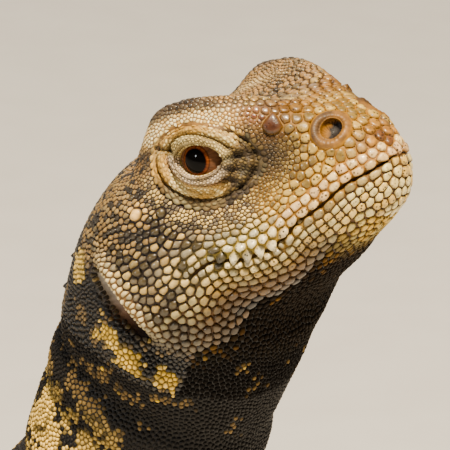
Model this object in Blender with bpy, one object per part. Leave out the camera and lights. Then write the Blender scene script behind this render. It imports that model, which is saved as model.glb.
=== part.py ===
"""A life-size model of a uromastyx, a stout spiny-tailed lizard, basking with its head held high.

The head, neck, torso and tail are lengths of one tube. Its sections are rounded squares whose width,
height and squareness change along a middle line that bends from the raised head down to the tail.
Brows, lids, lips, cheeks and folds are swellings and hollows of that tube. The eyes sit in pockets
behind almond openings, and the ears and nostrils are cut in. Each leg is one closed body with its
toes and claws, and the tail's spines stand in rings on the tube. All lengths below are millimetres.
"""
import math

import bmesh
import bpy
import numpy as np

MM = 0.001
GAP = 0.3                  # clear space between two pieces that touch
HEAD_PITCH = 26.5          # degrees that the head looks up
NOSE_FORWARD = 137.07      # from the middle of the model to the line through the snout tip
NOSE_HEIGHT = 96.0         # snout tip above the floor

# The trunk: distance back from the snout, half width, height above the middle line, depth below
# it, and how square the section is above and below, where 2 is an ellipse.
TRUNK = (
    (0.8, 4.4, 1.0, 4.6, 2.2, 2.2),
    (1.6, 4.6, 2.4, 4.9, 2.2, 2.2),
    (3.6, 5.3, 5.0, 5.4, 2.2, 2.2),
    (7.0, 7.3, 8.0, 6.8, 2.4, 2.3),
    (10.0, 9.0, 9.4, 7.9, 2.8, 2.4),
    (15.0, 11.8, 10.3, 9.9, 3.4, 2.6),
    (20.0, 13.2, 10.7, 11.4, 3.4, 2.6),
    (26.0, 14.0, 11.2, 13.0, 2.8, 2.5),
    (32.0, 14.2, 11.8, 13.8, 2.4, 2.3),
    (38.0, 13.4, 12.2, 13.8, 2.2, 2.2),
    (46.0, 12.6, 12.5, 13.0, 2.1, 2.1),
    (58.0, 13.4, 12.6, 13.4, 2.1, 2.1),
    (70.0, 18.0, 14.4, 15.4, 2.2, 2.2),
    (84.0, 25.0, 16.0, 18.0, 2.3, 2.3),
    (106.0, 33.0, 17.0, 19.5, 2.3, 2.3),
    (130.0, 35.0, 16.5, 19.0, 2.3, 2.3),
    (152.0, 29.0, 15.5, 17.5, 2.3, 2.3),
    (168.0, 21.0, 14.5, 15.5, 2.3, 2.3),
    (180.0, 17.5, 12.5, 13.0, 2.2, 2.2),
    (200.0, 15.5, 10.0, 9.6, 2.2, 2.2),
    (250.0, 10.8, 6.6, 6.6, 2.2, 2.2),
    (300.0, 6.0, 4.0, 4.0, 2.2, 2.2),
    (309.0, 3.4, 2.6, 2.6, 2.0, 2.0),
)
SNOUT_START = 0.8          # where the first section opens from a point
TAIL_END = 312.0
SNOUT_ROUND = 5.0          # length over which the sides open at the snout
CHIN_ROUND = 3.4
LIP_ROUND = 0.8
TAIL_ROUND = 4.0

# The middle line: distance back from the snout and its slope in degrees, down towards the tail.
BEND = (
    (0.0, 26.5), (17.0, 26.5), (38.0, 72.0), (58.0, 72.0), (86.0, 28.0), (112.0, 12.0),
    (140.0, 5.0), (165.0, 6.0), (185.0, 14.0), (205.0, 11.0), (222.0, 3.5), (312.0, 3.5),
)

# Where the trunk is parted, as distances back from the snout.
HEAD_BACK = 41.0
NECK_BACK = 57.0
TORSO_BACK = 172.0
RINGS_ON_BASE = 4          # the tail is parted again behind this many rings of spines
RINGS_ON_MIDDLE = 7

# The brow ridge: distance back from the snout, how far it lifts, and how far out it runs.
BROW_LIFT = ((6.5, 0.0), (9.5, 1.1), (13.0, 2.7), (18.0, 3.8), (22.0, 3.5), (24.5, 2.0), (27.0, 0.0))
BROW_OUT = ((8.0, 6.2), (16.0, 8.6), (24.0, 9.6))
BROW_WIDTH_IN = 3.2
BROW_WIDTH_OUT = 2.6

# The mouth line: distance back from the snout and height below the middle line.
MOUTH = ((0.8, 0.2), (2.2, 0.65), (4.5, 1.0), (7.0, 2.1), (10.0, 3.0), (13.5, 4.5), (16.5, 4.4), (19.5, 3.6),
         (24.5, 4.4))
MOUTH_CORNER = 23.0
MOUTH_DEPTH = 0.9
LIP_SWELL = 0.35

# Head landmarks in the head's own axes: forward of the snout tip, out to the side, up.
EYE = (-17.2, 8.9, 6.8)
EYE_RADIUS = 3.4
EYE_TILT = -24.0           # degrees, the front corner lower
LID_THICKNESS = 0.6
EYE_OPENING = (2.6, 1.6)   # half length and half height
NOSTRIL = (-4.6, 4.4, 5.15)
NOSTRIL_OPENING = (1.15, 0.95)
NOSTRIL_DEPTH = 1.9
EAR = (-32.6, 14.2, -4.6)
EAR_OPENING = (5.2, 1.3)
EAR_DEPTH = 2.3
EAR_TILT = 20.2            # degrees, the foot of the slit forward

# Tail spines, in rings around the tail.
RINGS = 18
FIRST_RING = 187.0
LAST_RING = 306.0
RING_STEP = 0.45           # how far the back edge of a ring stands out
SPINE_LENGTH = (5.2, 2.8)  # at the first and the last ring
SPINE_RADIUS = (1.6, 0.95)
SPINE_SPACING = (5.2, 3.5)
SPINE_RAISE = 34.0         # degrees from the tail's own line
SEED = 11

# Legs: distances back from the snout of shoulder and hip.
SHOULDER = 77.0
HIP = 156.0


def ease(share):
    """A smooth step from 0 to 1."""
    share = np.clip(share, 0.0, 1.0)
    return share * share * (3.0 - 2.0 * share)


def through(x, table, column=1):
    """A smooth curve through a table's rows, flat where a row is a peak and past both ends."""
    rows = np.asarray(table, float)
    place, value = rows[:, 0], rows[:, column]
    step = np.diff(place)
    slope = np.diff(value) / step
    lean = np.zeros_like(value)
    lean[1:-1] = (slope[:-1] * step[1:] + slope[1:] * step[:-1]) / (step[1:] + step[:-1])
    lean[1:-1] = np.where(slope[:-1] * slope[1:] <= 0.0, 0.0, lean[1:-1])
    lean[0], lean[-1] = slope[0], slope[-1]
    x = np.clip(x, place[0], place[-1])
    i = np.clip(np.searchsorted(place, x, side="right") - 1, 0, len(place) - 2)
    t = (x - place[i]) / step[i]
    start = (2 * t**3 - 3 * t**2 + 1) * value[i] + (t**3 - 2 * t**2 + t) * step[i] * lean[i]
    return start + (3 * t**2 - 2 * t**3) * value[i + 1] + (t**3 - t**2) * step[i] * lean[i + 1]


def middle_line():
    """The middle line's slope, forward place and height, summed in steps of a tenth."""
    s = np.linspace(0.0, TAIL_END, 3121)
    slope = np.radians(through(s, BEND))
    x = np.concatenate([[0.0], np.cumsum((np.cos(slope[1:]) + np.cos(slope[:-1])) / 2 * np.diff(s))])
    z = np.concatenate([[0.0], np.cumsum((np.sin(slope[1:]) + np.sin(slope[:-1])) / 2 * np.diff(s))])
    return s, slope, NOSE_FORWARD - x, NOSE_HEIGHT - z


LINE_S, LINE_SLOPE, LINE_X, LINE_Z = middle_line()


def place(s, y, z):
    """A point z above and y beside the middle line, s back from the snout."""
    slope = np.interp(s, LINE_S, LINE_SLOPE)
    x = np.interp(s, LINE_S, LINE_X) - np.sin(slope) * z
    return np.stack([x, y + 0.0 * s, np.interp(s, LINE_S, LINE_Z) + np.cos(slope) * z], -1)


def from_head(x, y, z):
    """A point in the head's own axes, taken to the model's."""
    turn = math.radians(HEAD_PITCH)
    forward = NOSE_FORWARD + x * math.cos(turn) - z * math.sin(turn)
    return np.array([forward, y, NOSE_HEIGHT + x * math.sin(turn) + z * math.cos(turn)])


def to_head(point):
    """Points of the model in the head's own axes: forward, out to either side, up."""
    turn = math.radians(HEAD_PITCH)
    x = point[..., 0] - NOSE_FORWARD
    z = point[..., 2] - NOSE_HEIGHT
    along = x * math.cos(turn) + z * math.sin(turn)
    return along, np.abs(point[..., 1]), z * math.cos(turn) - x * math.sin(turn)


def quarter(share):
    """A quarter circle from 0 to 1."""
    return np.sqrt(np.clip(1.0 - (1.0 - np.clip(share, 0.0, 1.0)) ** 2, 0.0, 1.0))


def section(s, t):
    """The trunk's section at s: a rounded square of angle t, 0 on the left and a quarter turn on top.

    The angle is shifted so that the mouth line runs at 0 on the left and at a half turn on the right.
    """
    wide, above, below, square_up, square_down = [through(s, TRUNK, column) for column in range(1, 6)]
    closing = quarter((TAIL_END - s) / TAIL_ROUND)
    opening = s - SNOUT_START
    wide = wide * quarter(opening / SNOUT_ROUND) * closing
    below = below * quarter(opening / CHIN_ROUND) * closing
    above = above * quarter(opening / LIP_ROUND) * closing
    drop = through(s, MOUTH) * ease((38.0 - s) / 12.0) / np.maximum(below, 0.05)
    t = t - 0.96 * np.arcsin(np.clip(drop, 0.0, 0.6)) * np.cos(t)
    across, up = np.cos(t), np.sin(t)
    square = np.where(up > 0.0, square_up, square_down)
    size = (np.abs(across) ** square + np.abs(up) ** square) ** (1.0 / square)
    return wide * across / size, np.where(up > 0.0, above, below) * up / size


def hump(x, y, z, middle, radii):
    """A soft swelling of height 1 about a point."""
    far = ((x - middle[0]) / radii[0]) ** 2 + ((y - middle[1]) / radii[1]) ** 2
    return np.exp(-0.5 * (far + ((z - middle[2]) / radii[2]) ** 2))


def head_forms(x, y, z):
    """How far the head swells along its surface, and how far its brows lift straight up."""
    front = ease((x + 46.0) / 10.0)
    side = np.where(y > through(-x, BROW_OUT), BROW_WIDTH_OUT, BROW_WIDTH_IN)
    ridge = np.exp(-(((y - through(-x, BROW_OUT)) / side) ** 2)) * ease((z - 3.5) / 3.5)
    lift = through(-x, BROW_LIFT) * ridge
    swell = 0.25 * lift
    swell += -0.6 * hump(x, y, z, (-15.0, 0.0, 12.0), (6.0, 3.0, 5.0))
    swell += -0.8 * hump(x, y, z, (-10.0, 9.0, 3.5), (3.2, 4.0, 2.4))
    swell += 0.6 * hump(x, y, z, NOSTRIL, (2.0, 2.4, 2.0))
    swell += 0.9 * hump(x, y, z, (-27.0, 13.0, -5.0), (5.0, 6.0, 5.0))
    swell += 0.5 * hump(x, y, z, (-27.5, 12.0, 6.0), (4.0, 5.0, 3.5))
    tilt = math.radians(EYE_TILT)
    along = (x - EYE[0]) * math.cos(tilt) + (z - EYE[2]) * math.sin(tilt)
    across = (z - EYE[2]) * math.cos(tilt) - (x - EYE[0]) * math.sin(tilt)
    orbit = np.exp(-0.5 * ((along / 5.8) ** 2 + (across / 4.6) ** 2)) * ease((y - 5.0) / 3.0)
    lean = math.radians(EAR_TILT)
    beside = (x - EAR[0]) * math.cos(lean) + (z - EAR[2]) * math.sin(lean)
    slit = (z - EAR[2]) * math.cos(lean) - (x - EAR[0]) * math.sin(lean)
    rim = np.exp(-(((beside - 2.1) / 0.9) ** 2)) * np.exp(-((slit / 5.2) ** 4)) * ease((y - 8.0) / 3.0)
    return (swell - 1.1 * orbit) * front + 0.7 * rim, lift * front


def lips(s, t):
    """The mouth's groove with a lip above and below, by the distance around from the mouth line."""
    from_line = np.minimum(np.abs(t), np.abs(math.pi - t)) * through(s, TRUNK, 1) * 0.95
    groove = -MOUTH_DEPTH * np.exp(-((from_line / 0.25) ** 2))
    swell = LIP_SWELL * np.exp(-(((from_line - 0.9) / 0.7) ** 2))
    return (groove + swell) * ease((MOUTH_CORNER + 0.6 - s) / 1.5)


def folds(s, t):
    """Loose skin: folds round the neck and in front of the shoulder, deepest at the sides."""
    sides = np.abs(np.cos(t)) ** 0.7
    lean = 2.2 * np.sin(t)
    depth = 0.0
    for middle, deep, wide in ((45.5, 0.7, 1.6), (51.5, 0.5, 1.4), (62.0, 1.2, 2.2)):
        depth = depth - deep * np.exp(-(((s + lean - middle) / wide) ** 2)) * sides
    return depth


def trunk(s, t, out=0.0):
    """The skin of the trunk, s back from the snout and t round it, and out further along its normal."""
    def plain(s, t):
        y, z = section(s, t)
        return place(s, y, z)

    small = 0.001
    s, t = np.broadcast_arrays(np.asarray(s, float), np.asarray(t, float))
    point = plain(s, t)
    along = plain(np.clip(s + small, 0.0, TAIL_END), t) - plain(np.clip(s - small, 0.0, TAIL_END), t)
    around = plain(s, t + small) - plain(s, t - small)
    normal = np.cross(along, around)
    normal = normal / np.maximum(np.linalg.norm(normal, axis=-1, keepdims=True), 1e-12)
    outward = ((point - place(s, 0.0 * s, 0.0 * s)) * normal).sum(-1, keepdims=True)
    normal = np.where(outward < 0.0, -normal, normal)
    x, y, z = to_head(point)
    swell, lift = head_forms(x, y, z)
    swell = swell + lips(s, t) + folds(s, t) + out
    turn = math.radians(HEAD_PITCH)
    up = np.stack([0.0 * s - math.sin(turn), 0.25 * np.tanh(point[..., 1] / 3.0), 0.0 * s + math.cos(turn)], -1)
    point = point + normal * swell[..., None] + up * lift[..., None]
    return lids(point)


def lids(point):
    """The lids: where the skin would pass through a ball a little larger than the eye, it lies on it."""
    x, y, z = to_head(point)
    away = np.stack([x - EYE[0], y - EYE[1], z - EYE[2]], -1)
    far = np.maximum(np.linalg.norm(away, axis=-1), 1e-9)
    ball_size = EYE_RADIUS + GAP + LID_THICKNESS
    lifted = 0.5 * (far + ball_size + np.sqrt((far - ball_size) ** 2 + 0.16))
    share = ease((y - 4.0) / 3.0) * ease((10.0 - far) / 3.0)
    goal = np.array(EYE) + away * (1.0 + (lifted / far - 1.0) * share)[..., None]
    turn = math.radians(HEAD_PITCH)
    forward = NOSE_FORWARD + goal[..., 0] * math.cos(turn) - goal[..., 2] * math.sin(turn)
    height = NOSE_HEIGHT + goal[..., 0] * math.sin(turn) + goal[..., 2] * math.cos(turn)
    return np.stack([forward, goal[..., 1] * np.where(point[..., 1] < 0.0, -1.0, 1.0), height], -1)


def make_object(name, points, faces, colour=None, roughness=0.7):
    """A mesh object from points in millimetres."""
    mesh = bpy.data.meshes.new(name)
    mesh.from_pydata([tuple(p) for p in np.asarray(points, float) * MM], [], faces)
    mesh.validate()
    thing = bpy.data.objects.new(name, mesh)
    bpy.context.scene.collection.objects.link(thing)
    if colour is not None:
        material = bpy.data.materials.new(name + "_skin")
        material.use_nodes = True
        surface = material.node_tree.nodes["Principled BSDF"]
        surface.inputs["Base Color"].default_value = (*colour, 1.0)
        surface.inputs["Roughness"].default_value = roughness
        mesh.materials.append(material)
    return thing


def closed_tube(rings, first=None, last=None):
    """Points and faces of a tube through rings of points, closed by a fan at each end."""
    rings = np.asarray(rings, float)
    count, sides = rings.shape[:2]
    first = rings[0].mean(0) if first is None else np.asarray(first, float)
    last = rings[-1].mean(0) if last is None else np.asarray(last, float)
    points = np.concatenate([rings.reshape(-1, 3), [first, last]])
    faces = []
    for i in range(count - 1):
        for j in range(sides):
            k = (j + 1) % sides
            faces.append((i * sides + j, i * sides + k, (i + 1) * sides + k, (i + 1) * sides + j))
    for j in range(sides):
        k = (j + 1) % sides
        faces.append((count * sides, k, j))
        faces.append((count * sides + 1, (count - 1) * sides + j, (count - 1) * sides + k))
    return points, faces


def face_out(thing):
    """Turns all faces of a closed mesh outwards."""
    shape = bmesh.new()
    shape.from_mesh(thing.data)
    bmesh.ops.recalc_face_normals(shape, faces=shape.faces)
    shape.to_mesh(thing.data)
    shape.free()


def apply_modifiers(thing):
    """Replaces an object's mesh by what its modifiers make of it."""
    graph = bpy.context.evaluated_depsgraph_get()
    mesh = bpy.data.meshes.new_from_object(thing.evaluated_get(graph))
    thing.modifiers.clear()
    thing.data = mesh


def combine(thing, helpers, operation):
    """Joins helpers to an object, or cuts them from it, in one Boolean, and removes them."""
    group = bpy.data.collections.new("helpers")
    bpy.context.scene.collection.children.link(group)
    for helper in helpers:
        face_out(helper)
        group.objects.link(helper)
        bpy.context.scene.collection.objects.unlink(helper)
    change = thing.modifiers.new("combine", "BOOLEAN")
    change.operation = operation
    change.operand_type = "COLLECTION"
    change.collection = group
    change.solver = "EXACT"
    apply_modifiers(thing)
    for helper in helpers:
        bpy.data.objects.remove(helper)
    bpy.data.collections.remove(group)
    keep_largest(thing)


def keep_largest(thing):
    """Triangulates a mesh, drops its slivers and keeps its largest closed surface."""
    shape = bmesh.new()
    shape.from_mesh(thing.data)
    bmesh.ops.remove_doubles(shape, verts=shape.verts, dist=1e-6)
    bmesh.ops.dissolve_degenerate(shape, edges=shape.edges, dist=1e-6)
    bmesh.ops.triangulate(shape, faces=shape.faces)
    shape.faces.ensure_lookup_table()
    left = set(shape.faces)
    groups = []
    while left:
        stack = [left.pop()]
        group = list(stack)
        while stack:
            for edge in stack.pop().edges:
                for face in edge.link_faces:
                    if face in left:
                        left.remove(face)
                        stack.append(face)
                        group.append(face)
        groups.append(group)

    def room(group):
        return abs(sum(f.verts[0].co.dot(f.verts[1].co.cross(f.verts[2].co)) for f in group))

    largest = set(max(groups, key=room))
    bmesh.ops.delete(shape, geom=[f for f in shape.faces if f not in largest], context="FACES")
    shape.to_mesh(thing.data)
    shape.free()


def flat_below(rings):
    """Lifts whatever lies under the floor onto it, which leaves a small flat."""
    rings = np.array(rings)
    rings[..., 2] = np.maximum(rings[..., 2], 0.0)
    return rings


def ball(name, middle, radii, axes, turns=16, levels=10):
    """A closed ball or egg with given half sizes along three axes."""
    u = np.linspace(0.0, 2.0 * math.pi, turns, endpoint=False)
    v = np.linspace(0.0, math.pi, levels + 1)[1:-1]
    v, u = np.meshgrid(v, u, indexing="ij")
    parts = (np.sin(v) * np.cos(u), np.sin(v) * np.sin(u), np.cos(v))
    rings = sum(part[..., None] * radius * np.asarray(axis) for part, radius, axis in zip(parts, radii, axes))
    tip = radii[2] * np.asarray(axes[2])
    points, faces = closed_tube(rings + middle, first=middle + tip, last=middle - tip)
    return make_object(name, points, faces)


def head_direction(x, y, z):
    """A direction in the head's axes, taken to the model's and made one long."""
    way = from_head(x, y, z) - from_head(0.0, 0.0, 0.0)
    return way / np.linalg.norm(way)


def head_axes(side, outward, along):
    """Three square axes: along a slit or a lid, across it, and out of the head."""
    out = head_direction(outward[0], side * outward[1], outward[2])
    run = head_direction(along[0], side * along[1], along[2])
    run = run - out * run.dot(out)
    run = run / np.linalg.norm(run)
    return run, np.cross(out, run), out


def head_columns():
    """Angles round the head: close together above the mouth line, wider below, and one each side of it."""
    over = np.linspace(0.0, math.pi, 33)
    under = np.linspace(math.pi, 2.0 * math.pi, 15)[1:-1]
    beside = [0.045, 2.0 * math.pi - 0.045, math.pi - 0.045, math.pi + 0.045]
    return np.sort(np.concatenate([over, under, beside]))


def build_head():
    """The head with lips and brows, and the eyes' pockets and openings, ears and nostrils cut in."""
    near = SNOUT_START + np.array([0.1, 0.4, 0.9, 1.6, 2.5, 3.5, 4.6])
    rest = np.concatenate([np.linspace(6.6, 12.0, 5), np.linspace(12.9, 22.0, 12), np.linspace(23.2, 39.4, 14)])
    rows = np.concatenate([near, rest, [HEAD_BACK - GAP / 2]])
    s, t = np.meshgrid(rows, head_columns(), indexing="ij")
    rings = trunk(s, t)
    tip = place(np.array(SNOUT_START), 0.0, 0.0)
    points, faces = closed_tube(rings, first=tip)
    head = make_object("head", points, faces, (0.45, 0.28, 0.12), 0.6)
    face_out(head)
    cutters = []
    for side in (1, -1):
        tilt = math.radians(EYE_TILT)
        run, across, out = head_axes(side, (0.12, 1.0, 0.08), (math.cos(tilt), 0.0, math.sin(tilt)))
        middle = from_head(EYE[0], side * EYE[1], EYE[2])
        pocket = EYE_RADIUS + GAP
        cutters.append(ball("pocket", middle, (pocket,) * 3, (run, across, out)))
        turn = np.linspace(0.0, 2.0 * math.pi, 20, endpoint=False)
        almond = np.sign(np.sin(turn)) * np.abs(np.sin(turn)) ** 1.3
        flat = EYE_OPENING[0] * np.cos(turn)[:, None] * run + EYE_OPENING[1] * almond[:, None] * across
        rings = [middle + flat * grow + out * reach for grow, reach in ((0.9, 2.2), (1.0, 3.6), (1.25, 6.5))]
        cutters.append(make_object("opening", *closed_tube(rings)))
        lean = math.radians(EAR_TILT)
        run, across, out = head_axes(side, (-0.25, 1.0, -0.05), (math.sin(lean), 0.0, -math.cos(lean)))
        ear = from_head(EAR[0], side * EAR[1], EAR[2])
        cutters.append(ball("ear_cup", ear, (*EAR_OPENING, EAR_DEPTH), (run, across, out)))
        run, across, out = head_axes(side, (0.35, 0.8, 0.45), (0.6, 0.0, 0.8))
        hole = from_head(NOSTRIL[0], side * NOSTRIL[1], NOSTRIL[2]) + out * 0.4
        cutters.append(ball("nostril", hole, (*NOSTRIL_OPENING, NOSTRIL_DEPTH), (run, across, out), 12, 8))
    combine(head, cutters, "DIFFERENCE")
    for side, name in ((1, "eye_left"), (-1, "eye_right")):
        tilt = math.radians(EYE_TILT)
        axes = head_axes(side, (0.12, 1.0, 0.08), (math.cos(tilt), 0.0, math.sin(tilt)))
        eye = ball(name, from_head(EYE[0], side * EYE[1], EYE[2]), (EYE_RADIUS,) * 3, axes)
        material = bpy.data.materials.new(name + "_surface")
        material.use_nodes = True
        material.node_tree.nodes["Principled BSDF"].inputs["Base Color"].default_value = (0.02, 0.01, 0.008, 1)
        material.node_tree.nodes["Principled BSDF"].inputs["Roughness"].default_value = 0.1
        eye.data.materials.append(material)
        face_out(eye)


def trunk_piece(name, start, end, step, sides, colour):
    """A plain length of the trunk, closed flat at both ends, half a gap short of each."""
    count = max(3, int(round((end - start) / step)) + 1)
    s = np.linspace(start + GAP / 2, end - GAP / 2, count)
    t = np.linspace(0.0, 2.0 * math.pi, sides, endpoint=False)
    s, t = np.meshgrid(s, t, indexing="ij")
    piece = make_object(name, *closed_tube(flat_below(trunk(s, t))), colour)
    face_out(piece)
    return piece


def ring_places():
    """The tail's rings of spines: where each one starts and ends along the tail."""
    edges = FIRST_RING + (LAST_RING - FIRST_RING) * np.linspace(0.0, 1.0, RINGS + 1) ** 0.96
    return list(zip(edges[:-1], edges[1:]))


def spine(root, way, up, length, radius):
    """A four-sided spine that tapers from a sunk root to a point bent up a little."""
    across = np.cross(way, up)
    across = across / np.linalg.norm(across)
    rise = np.cross(across, way)
    ring = [root + radius * (across * math.cos(a) + rise * 0.75 * math.sin(a))
            for a in (0.0, math.pi / 2, math.pi, 1.5 * math.pi)]
    tip = root + way * length + rise * length * 0.06
    return make_object("spine", *closed_tube([ring], last=tip))


def spines_on(start, end, draw):
    """The spines of each ring between two places on the tail: none underneath, the side ones longest.

    Those of the last ring stand further forward and steeper, to clear the piece behind."""
    helpers = []
    for front, back in ring_places():
        if front < start - 0.4 or back > end + 0.4:
            continue
        share = (back - FIRST_RING) / (LAST_RING - FIRST_RING)
        length, radius, spacing = [a + (b - a) * share for a, b in (SPINE_LENGTH, SPINE_RADIUS, SPINE_SPACING)]
        wide, high = through(back, TRUNK, 1), through(back, TRUNK, 2)
        count = int(round(math.pi * (wide + high) * 0.62 / spacing))
        for angle in np.linspace(-0.30, math.pi + 0.30, count):
            angle = angle + draw.uniform(-0.03, 0.03)
            last = back > end - 1.0
            at = back - 0.35 - (1.9 if last else 0.9) * radius
            skin = trunk(at, angle, RING_STEP - 0.9 * radius)
            skin_out = trunk(at, angle, RING_STEP + 1.0)
            skin_back = trunk(at + 0.5, angle, RING_STEP - 0.9 * radius)
            out = (skin_out - skin) / np.linalg.norm(skin_out - skin)
            along = (skin_back - skin) / np.linalg.norm(skin_back - skin)
            side = abs(math.cos(angle))
            steep = SPINE_RAISE - 8.0 * (1.0 - side) + draw.uniform(-4.0, 4.0) + (8.0 if last else 0.0)
            raise_by = math.radians(steep)
            way = along * math.cos(raise_by) + out * math.sin(raise_by)
            long = length * (0.78 + 0.3 * side) * draw.uniform(0.9, 1.1)
            helpers.append(spine(skin, way, out, long, radius * draw.uniform(0.92, 1.05)))
    return helpers


def tail_piece(name, start, end, sides, colour, draw):
    """A length of tail: each ring steps out to its back edge, with spines fused on there."""
    start, end = start + GAP / 2, end - GAP / 2
    stops = [(start, 0.0)]
    if start < FIRST_RING:
        stops += [(s, 0.0) for s in np.arange(start + 4.0, FIRST_RING - 1.0, 4.0)]
    for front, back in ring_places():
        stops += [(front + 0.35, -0.1), (back - 0.35, RING_STEP)]
    stops = [stop for stop in stops if start <= stop[0] < end - 0.5]
    tip = None
    if end > TAIL_END - 1.0:
        stops += [(TAIL_END - 3.0, 0.0), (TAIL_END - 1.0, 0.0), (TAIL_END - 0.2, 0.0)]
        tip = place(np.array(TAIL_END), 0.0, 0.0)
    else:
        stops.append((end, 0.0))
    t = np.linspace(0.0, 2.0 * math.pi, sides, endpoint=False)
    rings = [trunk(np.full(sides, s), t, out) for s, out in stops]
    piece = make_object(name, *closed_tube(flat_below(rings), last=tip), colour)
    face_out(piece)
    combine(piece, spines_on(start, end, draw), "UNION")
    return piece


def tube_along(path, widths, heights, sides, up=(0.0, 0.0, 1.0)):
    """Rings of ellipses square to a path, as wide and high as given at each point."""
    path = np.asarray(path, float)
    way = np.gradient(path, axis=0)
    way = way / np.linalg.norm(way, axis=1, keepdims=True)
    across = np.cross(way, np.asarray(up, float))
    across = across / np.linalg.norm(across, axis=1, keepdims=True)
    rise = np.cross(across, way)
    t = np.linspace(0.0, 2.0 * math.pi, sides, endpoint=False)
    width = np.asarray(widths, float)[:, None, None] * np.cos(t)[None, :, None]
    height = np.asarray(heights, float)[:, None, None] * np.sin(t)[None, :, None]
    return path[:, None] + width * across[:, None] + height * rise[:, None]


def smooth_path(knots, count):
    """Points spaced evenly in a smooth curve through knots."""
    knots = np.asarray(knots, float)
    far = np.concatenate([[0.0], np.cumsum(np.linalg.norm(np.diff(knots, axis=0), axis=1))])
    at = np.linspace(0.0, far[-1], count)
    return np.stack([through(at, np.stack([far, knots[:, i]], 1)) for i in range(3)], 1), at / far[-1]


# Each leg: the upper and the lower limb as knots, steps forward, out and height, each with its
# radius. Then the palm's middle, its half length, half width and half height, the way it points in
# degrees outwards, and each toe's angle from that and its length.
FORELEG = {
    "upper": ((0.0, 5.0, 37.0, 8.0), (-3.0, 16.0, 33.5, 9.0), (-8.0, 26.0, 29.0, 7.4), (-12.5, 34.0, 25.0, 5.8)),
    "lower": ((-12.0, 34.5, 25.5, 5.4), (-8.5, 38.2, 18.5, 5.7), (-3.5, 41.0, 11.0, 4.6), (1.5, 43.4, 4.6, 3.5)),
    "palm": (6.5, 45.3, 2.1),
    "palm_size": (5.4, 4.6, 2.5),
    "heading": 18.0,
    "toes": ((60.0, 6.0), (34.0, 8.2), (11.0, 9.0), (-14.0, 8.4), (-44.0, 6.6)),
    "toe_radius": 1.45,
}
HINDLEG = {
    "upper": ((0.0, 3.0, 21.0, 9.0), (4.0, 16.0, 21.5, 10.2), (11.0, 31.0, 22.5, 8.6), (17.5, 43.5, 22.0, 6.4)),
    "lower": ((17.0, 43.5, 22.3, 6.0), (11.0, 48.5, 16.8, 6.2), (3.5, 53.5, 10.5, 5.0), (-4.0, 57.6, 4.8, 3.7)),
    "palm": (1.5, 61.5, 2.3),
    "palm_size": (7.2, 5.2, 2.7),
    "heading": 34.0,
    "toes": ((50.0, 6.4), (27.0, 9.0), (8.0, 11.6), (-10.0, 13.0), (-46.0, 8.8)),
    "toe_radius": 1.6,
}
CLAW_LENGTH = 3.4


def limb_part(knots, base, mirror):
    """A length of limb through knots with their radii, rounded over at both ends."""
    path, share = smooth_path(np.asarray(knots)[:, :3], 6)
    size = through(share * (len(knots) - 1), np.stack([np.arange(len(knots)), np.asarray(knots)[:, 3]], 1))
    first, last = path[0] - path[1], path[-1] - path[-2]
    first, last = first / np.linalg.norm(first), last / np.linalg.norm(last)
    path = np.concatenate([[path[0] + first * 0.7 * size[0]], path, [path[-1] + last * 0.7 * size[-1]]])
    size = np.concatenate([[0.55 * size[0]], size, [0.55 * size[-1]]])
    return closed_tube((tube_along(path, size, size * 0.95, 11) + base) * mirror)


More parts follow.
